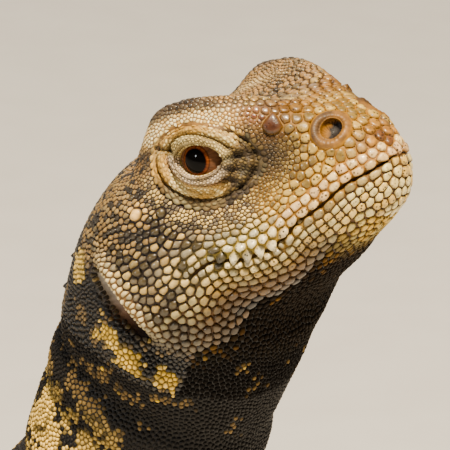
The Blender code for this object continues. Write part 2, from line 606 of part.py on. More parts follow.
def leg(name, plan, back, side, colour):
    """One leg: limb, palm, five toes and their claws fused, clear of the torso and flat underneath."""
    forward = float(np.interp(back, LINE_S, LINE_X))
    base = np.array([forward, 0.0, 0.0])
    mirror = np.array([1.0, side, 1.0])
    limb = make_object(name, *limb_part(plan["upper"], base, mirror), colour)
    face_out(limb)
    palm = np.array(plan["palm"])
    heading = math.radians(plan["heading"])
    run = np.array([math.cos(heading), math.sin(heading), 0.0])
    beside = np.array([-math.sin(heading), math.cos(heading), 0.0])
    long, wide, high = plan["palm_size"]
    u = np.linspace(0.0, 2.0 * math.pi, 12, endpoint=False)
    v = np.linspace(0.0, math.pi, 8)[1:-1]
    v, u = np.meshgrid(v, u, indexing="ij")
    egg = (np.cos(v)[..., None] * run * long + (np.sin(v) * np.cos(u))[..., None] * beside * wide
           + (np.sin(v) * np.sin(u))[..., None] * np.array([0.0, 0.0, high]))
    centre = base + palm
    egg = closed_tube((egg + centre) * mirror, (centre + run * long) * mirror, (centre - run * long) * mirror)
    helpers = [make_object("palm", *egg), make_object("lower", *limb_part(plan["lower"], base, mirror))]
    for angle, length in plan["toes"]:
        turn = heading + math.radians(angle)
        way = np.array([math.cos(turn), math.sin(turn), 0.0])
        root = palm + way * (0.45 * wide) + beside * math.sin(math.radians(angle)) * 0.35 * wide
        reach = 0.55 * wide + length
        radius = plan["toe_radius"]
        knots = [root + way * reach * f + np.array([0.0, 0.0, h - palm[2]])
                 for f, h in ((0.0, 1.6), (0.35, 2.3), (0.7, 1.9), (0.92, 1.25), (1.0, 1.05))]
        bones = np.array([0.95, 1.0, 0.9, 0.78, 0.5]) * radius
        rings = tube_along(np.array(knots) + base, bones, bones * 0.95, 7)
        helpers.append(make_object("toe", *closed_tube(rings * mirror)))
        tip = root + way * (reach - 0.8)
        tip[2] = 1.35
        knots = [tip + way * CLAW_LENGTH * f + np.array([0.0, 0.0, rise])
                 for f, rise in ((0.0, 0.0), (0.5, 0.1), (1.0, -0.8))]
        thick = np.array([0.78, 0.62, 0.16])
        rings = tube_along(np.array(knots) + base, thick * 0.8, thick, 5)
        helpers.append(make_object("claw", *closed_tube(rings * mirror)))
    combine(limb, helpers, "UNION")
    s = np.linspace(48.0, 196.0, 60)
    s, t = np.meshgrid(s, np.linspace(0.0, 2.0 * math.pi, 40, endpoint=False), indexing="ij")
    body = make_object("body_room", *closed_tube(trunk(s, t, GAP + 0.05)))
    low = np.array([[-200, -200, -20], [200, -200, -20], [200, 200, -20], [-200, 200, -20]], float)
    slab = np.concatenate([low, low + [0, 0, 20]])
    faces = [(0, 3, 2, 1), (4, 5, 6, 7), (0, 1, 5, 4), (1, 2, 6, 5), (2, 3, 7, 6), (3, 0, 4, 7)]
    combine(limb, [body, make_object("below_floor", slab, faces)], "DIFFERENCE")
    return limb


def build():
    """Clears the scene and makes every piece."""
    for thing in list(bpy.data.objects):
        bpy.data.objects.remove(thing)
    build_head()
    grey = (0.06, 0.05, 0.04)
    trunk_piece("neck", HEAD_BACK, NECK_BACK, 1.8, 30, (0.10, 0.08, 0.04))
    trunk_piece("torso", NECK_BACK, TORSO_BACK, 6.0, 30, grey)
    draw = np.random.default_rng(SEED)
    horn = (0.16, 0.12, 0.07)
    first_part = ring_places()[RINGS_ON_BASE][0]
    second_part = ring_places()[RINGS_ON_BASE + RINGS_ON_MIDDLE][0]
    tail_piece("tail_base", TORSO_BACK, first_part, 28, horn, draw)
    tail_piece("tail_middle", first_part, second_part, 24, horn, draw)
    tail_piece("tail_tip", second_part, TAIL_END, 20, horn, draw)
    for side, end in ((1, "left"), (-1, "right")):
        leg("foreleg_" + end, FORELEG, SHOULDER, side, grey)
        leg("hindleg_" + end, HINDLEG, HIP, side, grey)


build()
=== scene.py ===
"""A uromastyx, a stout spiny-tailed lizard, life size, basking with its head held high.

The skin is a tube with rounded square sections along a bent middle line, and four limbs that grow out
of it in fillets. Scales are raised cells set on the skin: each is the patch of skin that lies nearer
to its own root than to any neighbour's. All lengths are millimetres until a mesh is made.
"""
import math
from types import SimpleNamespace

import bpy
import numpy as np
from bpy.props import FloatProperty, FloatVectorProperty, IntProperty, PointerProperty
from mathutils import Matrix


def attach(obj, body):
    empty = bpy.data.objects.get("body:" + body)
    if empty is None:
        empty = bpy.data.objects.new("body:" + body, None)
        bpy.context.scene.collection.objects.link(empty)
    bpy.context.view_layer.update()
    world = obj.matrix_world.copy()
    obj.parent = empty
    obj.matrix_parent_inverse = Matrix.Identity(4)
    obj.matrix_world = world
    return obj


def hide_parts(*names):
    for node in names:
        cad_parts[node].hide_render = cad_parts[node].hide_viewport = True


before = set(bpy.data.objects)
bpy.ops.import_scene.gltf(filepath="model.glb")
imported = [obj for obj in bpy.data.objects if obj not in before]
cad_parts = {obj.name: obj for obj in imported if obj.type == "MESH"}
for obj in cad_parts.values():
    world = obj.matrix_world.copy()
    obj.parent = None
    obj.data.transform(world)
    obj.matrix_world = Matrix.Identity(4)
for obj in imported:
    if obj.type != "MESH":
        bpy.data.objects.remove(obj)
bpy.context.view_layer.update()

bl_info = {
    "name": "Uromastyx model",
    "version": (1, 0, 0),
    "blender": (4, 5, 0),
    "location": "View3D > Sidebar > Lizard",
    "description": "Builds the skin, scales, spines, eyes and claws of a life-size uromastyx",
    "category": "Add Mesh",
}

MM = 0.001
TURN = 2 * math.pi
SIDES = ((1, "left"), (-1, "right"))
LIMBS = ("foreleg_left", "foreleg_right", "hindleg_left", "hindleg_right")
HEAD_PITCH = 26.5
NOSE_FORWARD = 137.07
NOSE_HEIGHT = 96

# The trunk: distance back from the snout, half width, height above the middle line, depth below
# it, and how square the section is above and below, where 2 is an ellipse.
TRUNK = (
    (0.8, 4.4, 1, 4.6, 2.2, 2.2), (1.6, 4.6, 2.4, 4.9, 2.2, 2.2), (3.6, 5.3, 5, 5.4, 2.2, 2.2),
    (7, 7.3, 8, 6.8, 2.4, 2.3), (10, 9, 9.4, 7.9, 2.8, 2.4), (15, 11.8, 10.3, 9.9, 3.4, 2.6),
    (20, 13.2, 10.7, 11.4, 3.4, 2.6), (26, 14, 11.2, 13, 2.8, 2.5), (32, 14.2, 11.8, 13.8, 2.4, 2.3),
    (38, 13.4, 12.2, 13.8, 2.2, 2.2), (46, 12.6, 12.5, 13, 2.1, 2.1), (58, 13.4, 12.6, 13.4, 2.1, 2.1),
    (70, 18, 14.4, 15.4, 2.2, 2.2), (84, 25, 16, 18, 2.3, 2.3), (106, 33, 17, 19.5, 2.3, 2.3),
    (130, 35, 16.5, 19, 2.3, 2.3), (152, 29, 15.5, 17.5, 2.3, 2.3), (168, 21, 14.5, 15.5, 2.3, 2.3),
    (180, 17.5, 12.5, 13, 2.2, 2.2), (200, 15.5, 10, 9.6, 2.2, 2.2), (250, 10.8, 6.6, 6.6, 2.2, 2.2),
    (300, 6, 4, 4, 2.2, 2.2), (309, 3.4, 2.6, 2.6, 2, 2),
)
SNOUT_START = 0.8
TAIL_END = 312
SNOUT_ROUND = 5
CHIN_ROUND = 3.4
LIP_ROUND = 0.8
TAIL_ROUND = 4
BEND = (
    (0, 26.5), (17, 26.5), (38, 72), (58, 72), (86, 28), (112, 12),
    (140, 5), (165, 6), (185, 14), (205, 11), (222, 3.5), (312, 3.5),
)
NOSTRIL = (-4.6, 4.4, 5.15)
BROW_LIFT = ((6.5, 0), (9.5, 1.1), (13, 2.7), (18, 3.8), (22, 3.5), (24.5, 2), (27, 0))
BROW_OUT = ((8, 6.2), (16, 8.6), (24, 9.6))
BROW_BAND = ((9, 8.6), (12, 9.7), (15.6, 10.9), (20.4, 11.3), (25, 10.6))
BROW_WIDTH_IN = 3.2
BROW_WIDTH_OUT = 2.6
# Swellings and hollows of the head: how high, their middle and their radii.
HEAD_SWELLS = (
    (-0.6, (-15, 0, 12), (6, 3, 5)), (-0.8, (-10, 9, 3.5), (3.2, 4, 2.4)), (0.6, NOSTRIL, (2, 2.4, 2)),
    (0.9, (-27, 13, -5), (5, 6, 5)), (0.5, (-27.5, 12, 6), (4, 5, 3.5)),
    (-0.9, (-25, 8.6, 11.6), (2.6, 3.6, 2.4)), (0.8, (-35, 13.5, -8.6), (1.5, 5, 2.8)),
    (0.8, (-33, 12.5, -13), (1.8, 5, 1.9)), (-0.7, (-31, 13.5, -11.4), (1.1, 5, 2.2)),
)
# The head's slight roll, as lifts of the left brow's back and of the right brow's.
BROW_ROLL = ((2.1, (-27.3, 7.7, 12), (3.2, 3.4, 4)), (-0.6, (-24.5, -9.5, 12), (2.6, 3, 3)))
MOUTH = ((0.8, 0.2), (2.2, 0.65), (4.5, 1), (7, 2.1), (10, 3), (13.5, 4.5), (16.5, 4.4), (19.5, 3.6),
         (24.5, 4.4))
MOUTH_CORNER = 23
EYE = (-17.2, 8.9, 6.8)
EYE_RADIUS = 3.4
EYE_TILT = -24
LID_RADIUS = 4.3
EYE_OPENING = (2.75, 1.72)
# Rings that roll in over the eyeball: their size against the opening, and distance from its middle.
LID_ROLL = ((0.86, 3.1), (0.91, 3.34), (0.95, 3.46), (0.975, 3.54), (0.995, 3.64), (1.02, 3.75), (1.05, 3.86))
# Rings down a nostril: their share of its edge, depth, shift forward and tone from rim to dark, where the
# dark deep inside is painted shade.
NOSTRIL_THROAT = ((0.98, 0.14, 0, 0.15), (0.96, 0.32, 0.03, 0.3), (0.95, 0.5, 0.06, 0.5),
                  (0.92, 0.7, 0.12, 0.7), (0.75, 0.9, 0.22, 0.85), (0.45, 1.05, 0.3, 1), (0.05, 1.1, 0.36, 1))
# Where the search on the trunk for lids and nostrils starts on each side: s and t.
LID_START = {1: (16.4, 0.8166), -1: (16.4, 2.325)}
NOSTRIL_START = {1: (4.9, math.pi - 2.156), -1: (4.9, 2.156)}
EAR = (-32.6, 14.2, -4.6)
EAR_OPENING = (5.2, 1.4)
EAR_TILT = 20.2
NECK_BACK = 58
RINGS = 18
FIRST_RING = 187
LAST_RING = 306
SHOULDER = 77
HIP = 156
FORELEG = {
    "upper": ((0, 5, 37, 8), (-3, 16, 33.5, 9), (-8, 26, 29, 7.4), (-12.5, 34, 25, 5.8)),
    "lower": ((-12, 34.5, 25.5, 5.4), (-8.5, 38.2, 18.5, 5.7), (-3.5, 41, 11, 4.6), (1.5, 43.4, 4.6, 3.5)),
    "palm": (6.5, 45.3, 2.1), "palm_size": (5.4, 4.6, 2.5), "heading": 18,
    "toes": ((60, 6), (34, 8.2), (11, 9), (-14, 8.4), (-44, 6.6)), "toe_radius": 1.45,
}
HINDLEG = {
    "upper": ((0, 3, 21, 9), (4, 16, 21.5, 10.2), (11, 31, 22.5, 8.6), (17.5, 43.5, 22, 6.4)),
    "lower": ((17, 43.5, 22.3, 6), (11, 48.5, 16.8, 6.2), (3.5, 53.5, 10.5, 5), (-4, 57.6, 4.8, 3.7)),
    "palm": (1.5, 61.5, 2.3), "palm_size": (7.2, 5.2, 2.7), "heading": 34,
    "toes": ((50, 6.4), (27, 9), (8, 11.6), (-10, 13), (-46, 8.8)), "toe_radius": 1.6,
}
# A toe from palm to claw: share of its length, height of its middle, and share of its radius.
TOE_PROFILE = ((0, 1.6, 0.95), (0.2, 2.2, 0.92), (0.38, 2.3, 1.04), (0.52, 2.05, 0.86),
               (0.68, 1.95, 0.95), (0.82, 1.5, 0.76), (0.92, 1.3, 0.78), (1, 1.15, 0.5))
CLAW_LENGTH = 3.4
CLAW_OVERLAP = 0.8
CLAW_HEIGHT = 1.35
CLAW_ROWS = 14
CLAW_COLUMNS = 16
PIT_SPACING = 0.42
# Single large scales of the head: distance back, angle round the left side and size.
LARGE_SCALES = ((9.45, 2.2, 2.4), (24.7, 2.47, 1.75), (22.4, 2.56, 1.3), (8.1, 1.95, 1.8), (35.6, 2.06, 1.2),
                (38.4, 2.2, 1.1), (37.2, 1.86, 1), (39.8, 2, 1))
# Bright spots of the band behind the ear, and paler ones on the neck: strength, middle and radii.
EAR_BAND = ((0.9, (-34.8, 13.5, -7.4), (1, 5, 1.7)), (1, (-34, 13, -10.8), (1.3, 5, 1.5)),
            (0.7, (-32, 12, -13.8), (1.4, 4, 1.2)))
NECK_SPOTS = ((0.8, (-37.6, 12, 0.6), (1.8, 5, 2)), (0.7, (-52, 10, -14), (4, 6, 4)))
# A tile of the tail with its spine, from front to tip: steps along both, width, and height by width.
TILE_STEPS = np.array([0, 0.1, 0.3, 0.55, 0.8, 1])
SPINE_STEPS = np.array([0.22, 0.5, 0.78, 1])
TILE_WIDTH = (0.86, 1, 1, 0.97, 0.9, 0.74, 0.5, 0.3, 0.14, 0.02)
TILE_HEIGHT = (0.1, 0.28, 0.36, 0.46, 0.56, 0.56, 0.44, 0.28, 0.14, 0.02)
TILE_COLUMNS = 10
WHORL_SEED = 29
MAP_PATCH = 0.0015
PUPIL_BLACK = (0.0015, 0.0012, 0.001)
PHOTO_SIDE = 450
PHOTO_SNOUT = (403.6, 150.7)
PIXELS_PER_METRE = 9460
CAMERA_DISTANCE = 0.6
LAMP_DISTANCE = 0.75
SENSOR = 36
HEAD_COLUMNS = 380
BODY_COLUMNS = 190
LID_ROWS = 64
LID_COLUMNS = 240
NOSTRIL_ROWS = 22
NOSTRIL_COLUMNS = 144
LIMB_COLUMNS = 72
LIMB_STEP = 0.55
FILLET_ROWS = 19
TOE_COLUMNS = 24
TOE_STEP = 0.35


# Curves, noise and colour.

def linear(hex_colour):
    """An sRGB hex colour turned to linear light."""
    value = np.array([int(hex_colour[i:i + 2], 16) for i in (1, 3, 5)]) / 255
    light = np.where(value <= 0.04045, value / 12.92, ((value + 0.055) / 1.055) ** 2.4)
    return tuple(float(v) for v in light)


def ease(share):
    """A smooth step from 0 to 1: three times the share squared less twice its cube."""
    share = np.clip(share, 0, 1)
    return share * share * (3 - 2 * share)


def climb(value, start, width):
    """The smooth step that leaves 0 at the start and comes to 1 a width further on."""
    return ease((value - start) / width)


def bell(value, width, power=2):
    """1 where the value is 0, falling to both sides: e to the power of minus (value / width)^power."""
    return np.exp(-((value / width) ** power))


def cubic(t, start, lead, end, leave, step=1):
    """A cubic curve from start, where it runs along lead, to end, where it runs along leave."""
    first = (2 * t**3 - 3 * t**2 + 1) * start + (t**3 - 2 * t**2 + t) * step * lead
    return first + (3 * t**2 - 2 * t**3) * end + (t**3 - t**2) * step * leave


def through(x, table, column=1):
    """A smooth curve through a table's rows, flat where a row is a peak and past both ends."""
    rows = np.asarray(table, float)
    place, value = rows[:, 0], rows[:, column]
    step = np.diff(place)
    slope = np.diff(value) / step
    lean = np.zeros_like(value)
    lean[1:-1] = (slope[:-1] * step[1:] + slope[1:] * step[:-1]) / (step[1:] + step[:-1])
    lean[1:-1] = np.where(slope[:-1] * slope[1:] <= 0, 0, lean[1:-1])
    lean[0], lean[-1] = slope[0], slope[-1]
    x = np.clip(x, place[0], place[-1])
    i = np.clip(np.searchsorted(place, x, side="right") - 1, 0, len(place) - 2)
    return cubic((x - place[i]) / step[i], value[i], lean[i], value[i + 1], lean[i + 1], step[i])


def angles(count):
    """Equal steps once round, from 0."""
    return np.linspace(0, TURN, count, endpoint=False)


def unit(vectors):
    """Vectors made one long."""
    return vectors / np.maximum(np.linalg.norm(vectors, axis=-1, keepdims=True), 1e-9)


def dot(a, b):
    """The dot product along the last axis."""
    return (a * b).sum(-1)


def cloud(points, size, seed=0):
    """Soft noise from 0 to 1: a hashed value at each corner of cubes `size` wide, eased between them."""
    where = points / size + 17.13 * (seed + 1)
    cell = np.floor(where).astype(np.int64)
    part = ease(where - cell)
    total = 0
    for corner in range(8):
        step = np.array([corner & 1, corner >> 1 & 1, corner >> 2 & 1])
        share = np.prod(np.where(step, part, 1 - part), axis=-1)
        mixed = ((cell + step) * np.array([73856093, 19349663, 83492791])).sum(-1)
        mixed = (mixed ^ (mixed >> 13)) * 1274126177
        total = total + share * (((mixed ^ (mixed >> 16)) & 65535) / 65535)
    return total


def mix(first, second, share):
    """A blend from the first colour to the second."""
    share = np.clip(np.asarray(share), 0, 1)[..., None]
    return first + (second - first) * share


# The shape of the skin.

def middle_line():
    """The middle line's slope, forward place and height, summed in steps of a tenth."""
    s = np.linspace(0, TAIL_END, 3121)
    slope = np.radians(through(s, BEND))
    x = np.concatenate([[0], np.cumsum((np.cos(slope[1:]) + np.cos(slope[:-1])) / 2 * np.diff(s))])
    z = np.concatenate([[0], np.cumsum((np.sin(slope[1:]) + np.sin(slope[:-1])) / 2 * np.diff(s))])
    return s, slope, NOSE_FORWARD - x, NOSE_HEIGHT - z


LINE_S, LINE_SLOPE, LINE_X, LINE_Z = middle_line()


def place(s, y, z):
    """A point z above and y beside the middle line, s back from the snout."""
    slope = np.interp(s, LINE_S, LINE_SLOPE)
    x = np.interp(s, LINE_S, LINE_X) - np.sin(slope) * z
    return np.stack([x, y + 0 * s, np.interp(s, LINE_S, LINE_Z) + np.cos(slope) * z], -1)


def from_head(point):
    """Points in the head's own axes, forward, left and up, taken to the model's."""
    point = np.asarray(point, float)
    turn = math.radians(HEAD_PITCH)
    forward = NOSE_FORWARD + point[..., 0] * math.cos(turn) - point[..., 2] * math.sin(turn)
    height = NOSE_HEIGHT + point[..., 0] * math.sin(turn) + point[..., 2] * math.cos(turn)
    return np.stack([forward, point[..., 1], height], -1)


def tilted(x, z, middle, angle):
    """How far forward and up a place is from a middle, in axes tilted up by an angle in degrees."""
    lean = math.radians(angle)
    forward, height = x - middle[0], z - middle[2]
    up = height * math.cos(lean) - forward * math.sin(lean)
    return forward * math.cos(lean) + height * math.sin(lean), up


def to_head(point):
    """Points of the model in the head's own axes: forward, out to either side, up."""
    forward, up = tilted(point[..., 0], point[..., 2], (NOSE_FORWARD, 0, NOSE_HEIGHT), HEAD_PITCH)
    return forward, np.abs(point[..., 1]), up


def quarter(share):
    """A quarter circle from 0 to 1."""
    return np.sqrt(np.clip(1 - (1 - np.clip(share, 0, 1)) ** 2, 0, 1))


def section(s, t):
    """The trunk's section at s: a rounded square of angle t, 0 on the left and a quarter turn on top.

    The angle is shifted so that the mouth line runs at 0 on the left and at a half turn on the right.
    """
    wide, above, below, square_up, square_down = [through(s, TRUNK, column) for column in range(1, 6)]
    closing = quarter((TAIL_END - s) / TAIL_ROUND)
    opening = s - SNOUT_START
    wide = wide * quarter(opening / SNOUT_ROUND) * closing
    below = below * quarter(opening / CHIN_ROUND) * closing
    above = above * quarter(opening / LIP_ROUND) * closing
    drop = through(s, MOUTH) * ease((38 - s) / 12) / np.maximum(below, 0.05)
    t = t - 0.96 * np.arcsin(np.clip(drop, 0, 0.6)) * np.cos(t)
    across, up = np.cos(t), np.sin(t)
    square = np.where(up > 0, square_up, square_down)
    size = (np.abs(across) ** square + np.abs(up) ** square) ** (1 / square)
    return wide * across / size, np.where(up > 0, above, below) * up / size


def hump(at, middle, radii):
    """A soft swelling of height 1 about a point."""
    far = sum(((place - centre) / radius) ** 2 for place, centre, radius in zip(at, middle, radii))
    return np.exp(-0.5 * far)


def from_nostril(at):
    """How far a place is from the middle of its nostril."""
    return np.linalg.norm(np.stack(at, -1) - np.array(NOSTRIL), axis=-1)


def eye_plane(x, z):
    """Places beside the eye: along its opening, forward, and across it, up."""
    return tilted(x, z, EYE, EYE_TILT)


def lid_reach(along, across):
    """How far the ring of lid skin reaches, further ahead than behind and further below than above."""
    return np.where(along > 0, 6.4, 6), np.where(across > 0, 4, 5.2)


def orbit(along, across):
    """How far out a place is in the ring of lid skin: 0 at the eye's middle, 1 where the lids end."""
    long, high = lid_reach(along, across)
    return np.sqrt((along / long) ** 2 + (across / high) ** 2)


def ear_plane(x, z):
    """Places beside the ear: out in front of its slit, and along the slit."""
    return tilted(x, z, EAR, EAR_TILT)


def ear_cup(x, z):
    """How far out a place is in the ear's slit: 0 in its middle and 1 at its edge."""
    beside, slit = ear_plane(x, z)
    return np.sqrt((beside / EAR_OPENING[1]) ** 2 + (slit / EAR_OPENING[0]) ** 2)


def head_forms(at):
    """How far the head swells along its surface, and how far its brows lift straight up."""
    x, y, z = at
    front = climb(x, -46, 10)
    side = np.where(y > through(-x, BROW_OUT), BROW_WIDTH_OUT, BROW_WIDTH_IN)
    ridge = bell(y - through(-x, BROW_OUT), side) * climb(z, 3.5, 3.5)
    lift = through(-x, BROW_LIFT) * ridge
    swell = 0.25 * lift
    for height, middle, radii in HEAD_SWELLS:
        swell += height * hump(at, middle, radii)
    along, across = eye_plane(x, z)
    socket = np.exp(-0.5 * ((along / 5.8) ** 2 + (across / 4.6) ** 2)) * climb(y, 5, 3)
    beside, slit = ear_plane(x, z)
    rim = bell(beside - 2.1, 0.9) * bell(slit, 5.2, 4) * climb(y, 8, 3)
    cup = ease((1.15 - ear_cup(x, z)) / 0.5) * climb(y, 8, 3)
    return (swell - 1.1 * socket) * front + 0.7 * rim - 2 * cup, lift * front


def from_mouth(s, t):
    """Distance round the head from the mouth line."""
    turn = np.mod(t, TURN)
    apart = np.minimum(np.minimum(turn, TURN - turn), np.abs(math.pi - turn))
    return apart * through(s, TRUNK, 1) * 0.95


def lips(s, t):
    """The mouth's groove with a lip above and below, by the distance from the mouth line."""
    far = from_mouth(s, t)
    groove = -0.45 * bell(far, 0.2)
    swell = 0.15 * bell(far - 0.9, 0.8)
    return (groove + swell) * ease((MOUTH_CORNER + 0.6 - s) / 1.5)


def folds(s, t):
    """Loose skin: folds round the neck and in front of the shoulder, deepest at the sides."""
    sides = np.abs(np.cos(t)) ** 0.7
    lean = 2.2 * np.sin(t)
    depth = 0
    for middle, deep, wide in ((45.5, 0.7, 1.6), (51.5, 0.5, 1.4), (62, 1.2, 2.2)):
        depth = depth - deep * bell(s + lean - middle, wide) * sides
    return depth


def plain_trunk(s, t):
    """The skin of the trunk by its section alone."""
    return place(s, *section(s, t))


def trunk(s, t, out=0, sunk=False):
    """The skin of the trunk, s back from the snout and t round it, and out further along its normal.

    Where it is sunk, it drops under the rings of lid skin and under the nostrils' rims.
    """
    small = 0.001
    s, t = np.broadcast_arrays(np.asarray(s, float), np.asarray(t, float))
    point = plain_trunk(s, t)
    along = (plain_trunk(np.clip(s + small, 0, TAIL_END), t)
             - plain_trunk(np.clip(s - small, 0, TAIL_END), t))
    around = plain_trunk(s, t + small) - plain_trunk(s, t - small)
    normal = unit(np.cross(along, around))
    outward = dot(point - place(s, 0 * s, 0 * s), normal)[..., None]
    normal = np.where(outward < 0, -normal, normal)
    x, _, z = at = to_head(point)
    swell, lift = head_forms(at)
    swell = swell + lips(s, t) + folds(s, t) + out
    for height, middle, radii in BROW_ROLL:
        lift = lift + height * hump((x, point[..., 1], z), middle, radii)
    turn = math.radians(HEAD_PITCH)
    up = np.stack([0 * s - math.sin(turn), 0.25 * np.tanh(point[..., 1] / 3), 0 * s + math.cos(turn)], -1)
    point = lids(point + normal * swell[..., None] + up * lift[..., None])
    if sunk:
        x, y, z = at = to_head(point)
        under = -1.9 * ease((1 - orbit(*eye_plane(x, z))) / 0.3) * climb(y, 4, 2)
        under = under - 2.8 * ease((2.5 - from_nostril(at)) / 1.2)
        point = point + normal * under[..., None]
    return point


def lids(point):
    """The lids: where the skin would pass through a ball a little larger than the eye, it lies on it."""
    x, y, z = to_head(point)
    away = np.stack([x - EYE[0], y - EYE[1], z - EYE[2]], -1)
    far = np.maximum(np.linalg.norm(away, axis=-1), 1e-9)
    lifted = 0.5 * (far + LID_RADIUS + np.sqrt((far - LID_RADIUS) ** 2 + 0.16))
    share = climb(y, 4, 3) * ease((10 - far) / 3)
    goal = np.array(EYE) + away * (1 + (lifted / far - 1) * share)[..., None]
    goal[..., 1] = goal[..., 1] * np.where(point[..., 1] < 0, -1, 1)
    return from_head(goal)


# Sheets of skin.

class Fields(dict):
    """Arrays by name, which are also read and set as attributes."""
    __getattr__ = dict.__getitem__
    __setattr__ = dict.__setitem__


def finish_sheet(points, **fields):
    """A grid of skin closed round its columns, with the outward normal and the way back at each point."""
    sheet = Fields(fields, points=points)
    down = np.gradient(points, axis=0)
    beside = (np.roll(points, -1, 1) - np.roll(points, 1, 1)) / 2
    sheet.down, sheet.beside = down, beside
    sheet.normal = unit(np.cross(down, beside))
    return sheet


def on_sheet(sheet, row, column, *names):
    """Values between a sheet's grid points: an even blend of the four round each place."""
    rows, columns = sheet.points.shape[:2]
    row = np.clip(row, 0, rows - 1.001)
    i, j = np.floor(row).astype(int), np.floor(column).astype(int)
    a, b = row - i, column - j
    left, right = j % columns, (j + 1) % columns
    values = []
    for name in names:
        field = sheet[name]
        p, q = (a[..., None], b[..., None]) if field.ndim == 3 else (a, b)
        near = field[i, left] * (1 - q) + field[i, right] * q
        values.append(near * (1 - p) + (field[i + 1, left] * (1 - q) + field[i + 1, right] * q) * p)
    return values[0] if len(names) == 1 else values


def round_angles(count):
    """Angles round the trunk, closer together at the mouth line on both sides."""
    turn = angles(count)
    return turn - 0.15 * np.sin(2 * turn)


def trunk_sheet(rows, columns, sunk=False):
    """A length of trunk as a sheet: one row for each distance back, one column for each angle."""
    s, t = np.meshgrid(rows, round_angles(columns), indexing="ij")
    return finish_sheet(rest_on_floor(trunk(s, t, sunk=sunk)), s=s, up=np.sin(t), t=t)


def find(origin, run, rise, a, b, s, t, rounds=6):
    """Trunk places s and t whose points lie a along and b up from an origin, by Newton's steps."""
    small = 0.01
    for _ in range(rounds):
        here = trunk(s, t)
        back, turned = (trunk(s + small, t) - here) / small, (trunk(s, t + small) - here) / small
        miss_a, miss_b = a - dot(here - origin, run), b - dot(here - origin, rise)
        m00, m01, m10, m11 = dot(back, run), dot(turned, run), dot(back, rise), dot(turned, rise)
        size = m00 * m11 - m01 * m10
        size = np.where(np.abs(size) < 0.5, np.where(size < 0, -0.5, 0.5), size)
        s = s + np.clip((miss_a * m11 - miss_b * m01) / size, -1.2, 1.2)
        t = t + np.clip((miss_b * m00 - miss_a * m10) / size, -0.12, 0.12)
    return s, t


def head_axes(side, outward, along):
    """Three square axes at a place on the head: along an opening, up across it, and out of the head."""
    out = unit(from_head((outward[0], side * outward[1], outward[2])) - from_head((0, 0, 0)))
    run = from_head((along[0], side * along[1], along[2])) - from_head((0, 0, 0))
    run = unit(run - out * dot(run, out))
    rise = np.cross(out, run)
    return run, rise if rise[2] > 0 else -rise, out


def face_outwards(points, out):
    """Points of a polar grid, with its columns turned round if its faces would look inwards."""
    down = np.gradient(points, axis=0)
    beside = np.roll(points, -1, 1) - points
    turned = dot(np.cross(down, beside), out).mean() < 0
    return (slice(None), slice(None, None, -1)) if turned else (slice(None), slice(None))


def eye_axes(side):
    """The eye's middle and its axes: forward along the opening, up across it, and out."""
    tilt = math.radians(EYE_TILT)
    run, rise, out = head_axes(side, (0.12, 1, 0.08), (math.cos(tilt), 0, math.sin(tilt)))
    return from_head((EYE[0], side * EYE[1], EYE[2])), run, rise, out


def almond(turn):
    """The outline of the open eye: an ellipse drawn in towards both corners, its front corner turned up."""
    x = EYE_OPENING[0] * np.cos(turn)
    z = EYE_OPENING[1] * np.sign(np.sin(turn)) * np.abs(np.sin(turn)) ** 1.2
    return x, z + 0.09 * x


def lid_fan(a, b, points):
    """The wrinkles before the eye: their angle about its front corner, and a wave across them."""
    fan = np.arctan2(b + 0.2, a - 0.5)
    return fan, np.sin(fan * 15 + 2 * cloud(points, 2.2, 61))


def lid_relief(a, b, points, on_skin):
    """How far the lids stand out from the trunk's skin: thin by the eye, creased, puffed and wrinkled."""
    inner = np.sqrt((a / 4.1) ** 2 + (b / 2.8) ** 2)
    outer = np.sqrt((a / 5.5) ** 2 + (b / np.where(b > 0, 3.75, 4.25)) ** 2)
    edge = ease((1 - orbit(a, b)) / 0.12)
    thin = -0.42 * ease((1 - inner) / 0.42) * on_skin
    crease = -0.5 * bell(inner - 1, 0.055) * climb(b, -0.8, 0.9)
    crease += -0.28 * bell(inner - 0.97, 0.05) * climb(-b, 0.4, 0.8)
    crease += -0.42 * bell(outer - 1, 0.045)
    crease += -0.2 * bell(inner - 1.2, 0.03) * climb(b, 0.5, 1)
    crease += -0.5 * bell(b - 0.5, 0.3) * climb(-a, 3, 0.8)
    puff = 0.3 * bell(inner - 0.84, 0.13) + 0.3 * bell(outer - 0.86, 0.09)
    fan, wave = lid_fan(a, b, points)
    wrinkle = 0.16 * wave
    wrinkle = wrinkle * climb(a, 2.4, 1.2) * ease((1.25 - np.abs(fan)) / 0.4)
    return (thin + (crease + puff + wrinkle) * on_skin) * edge, inner, outer


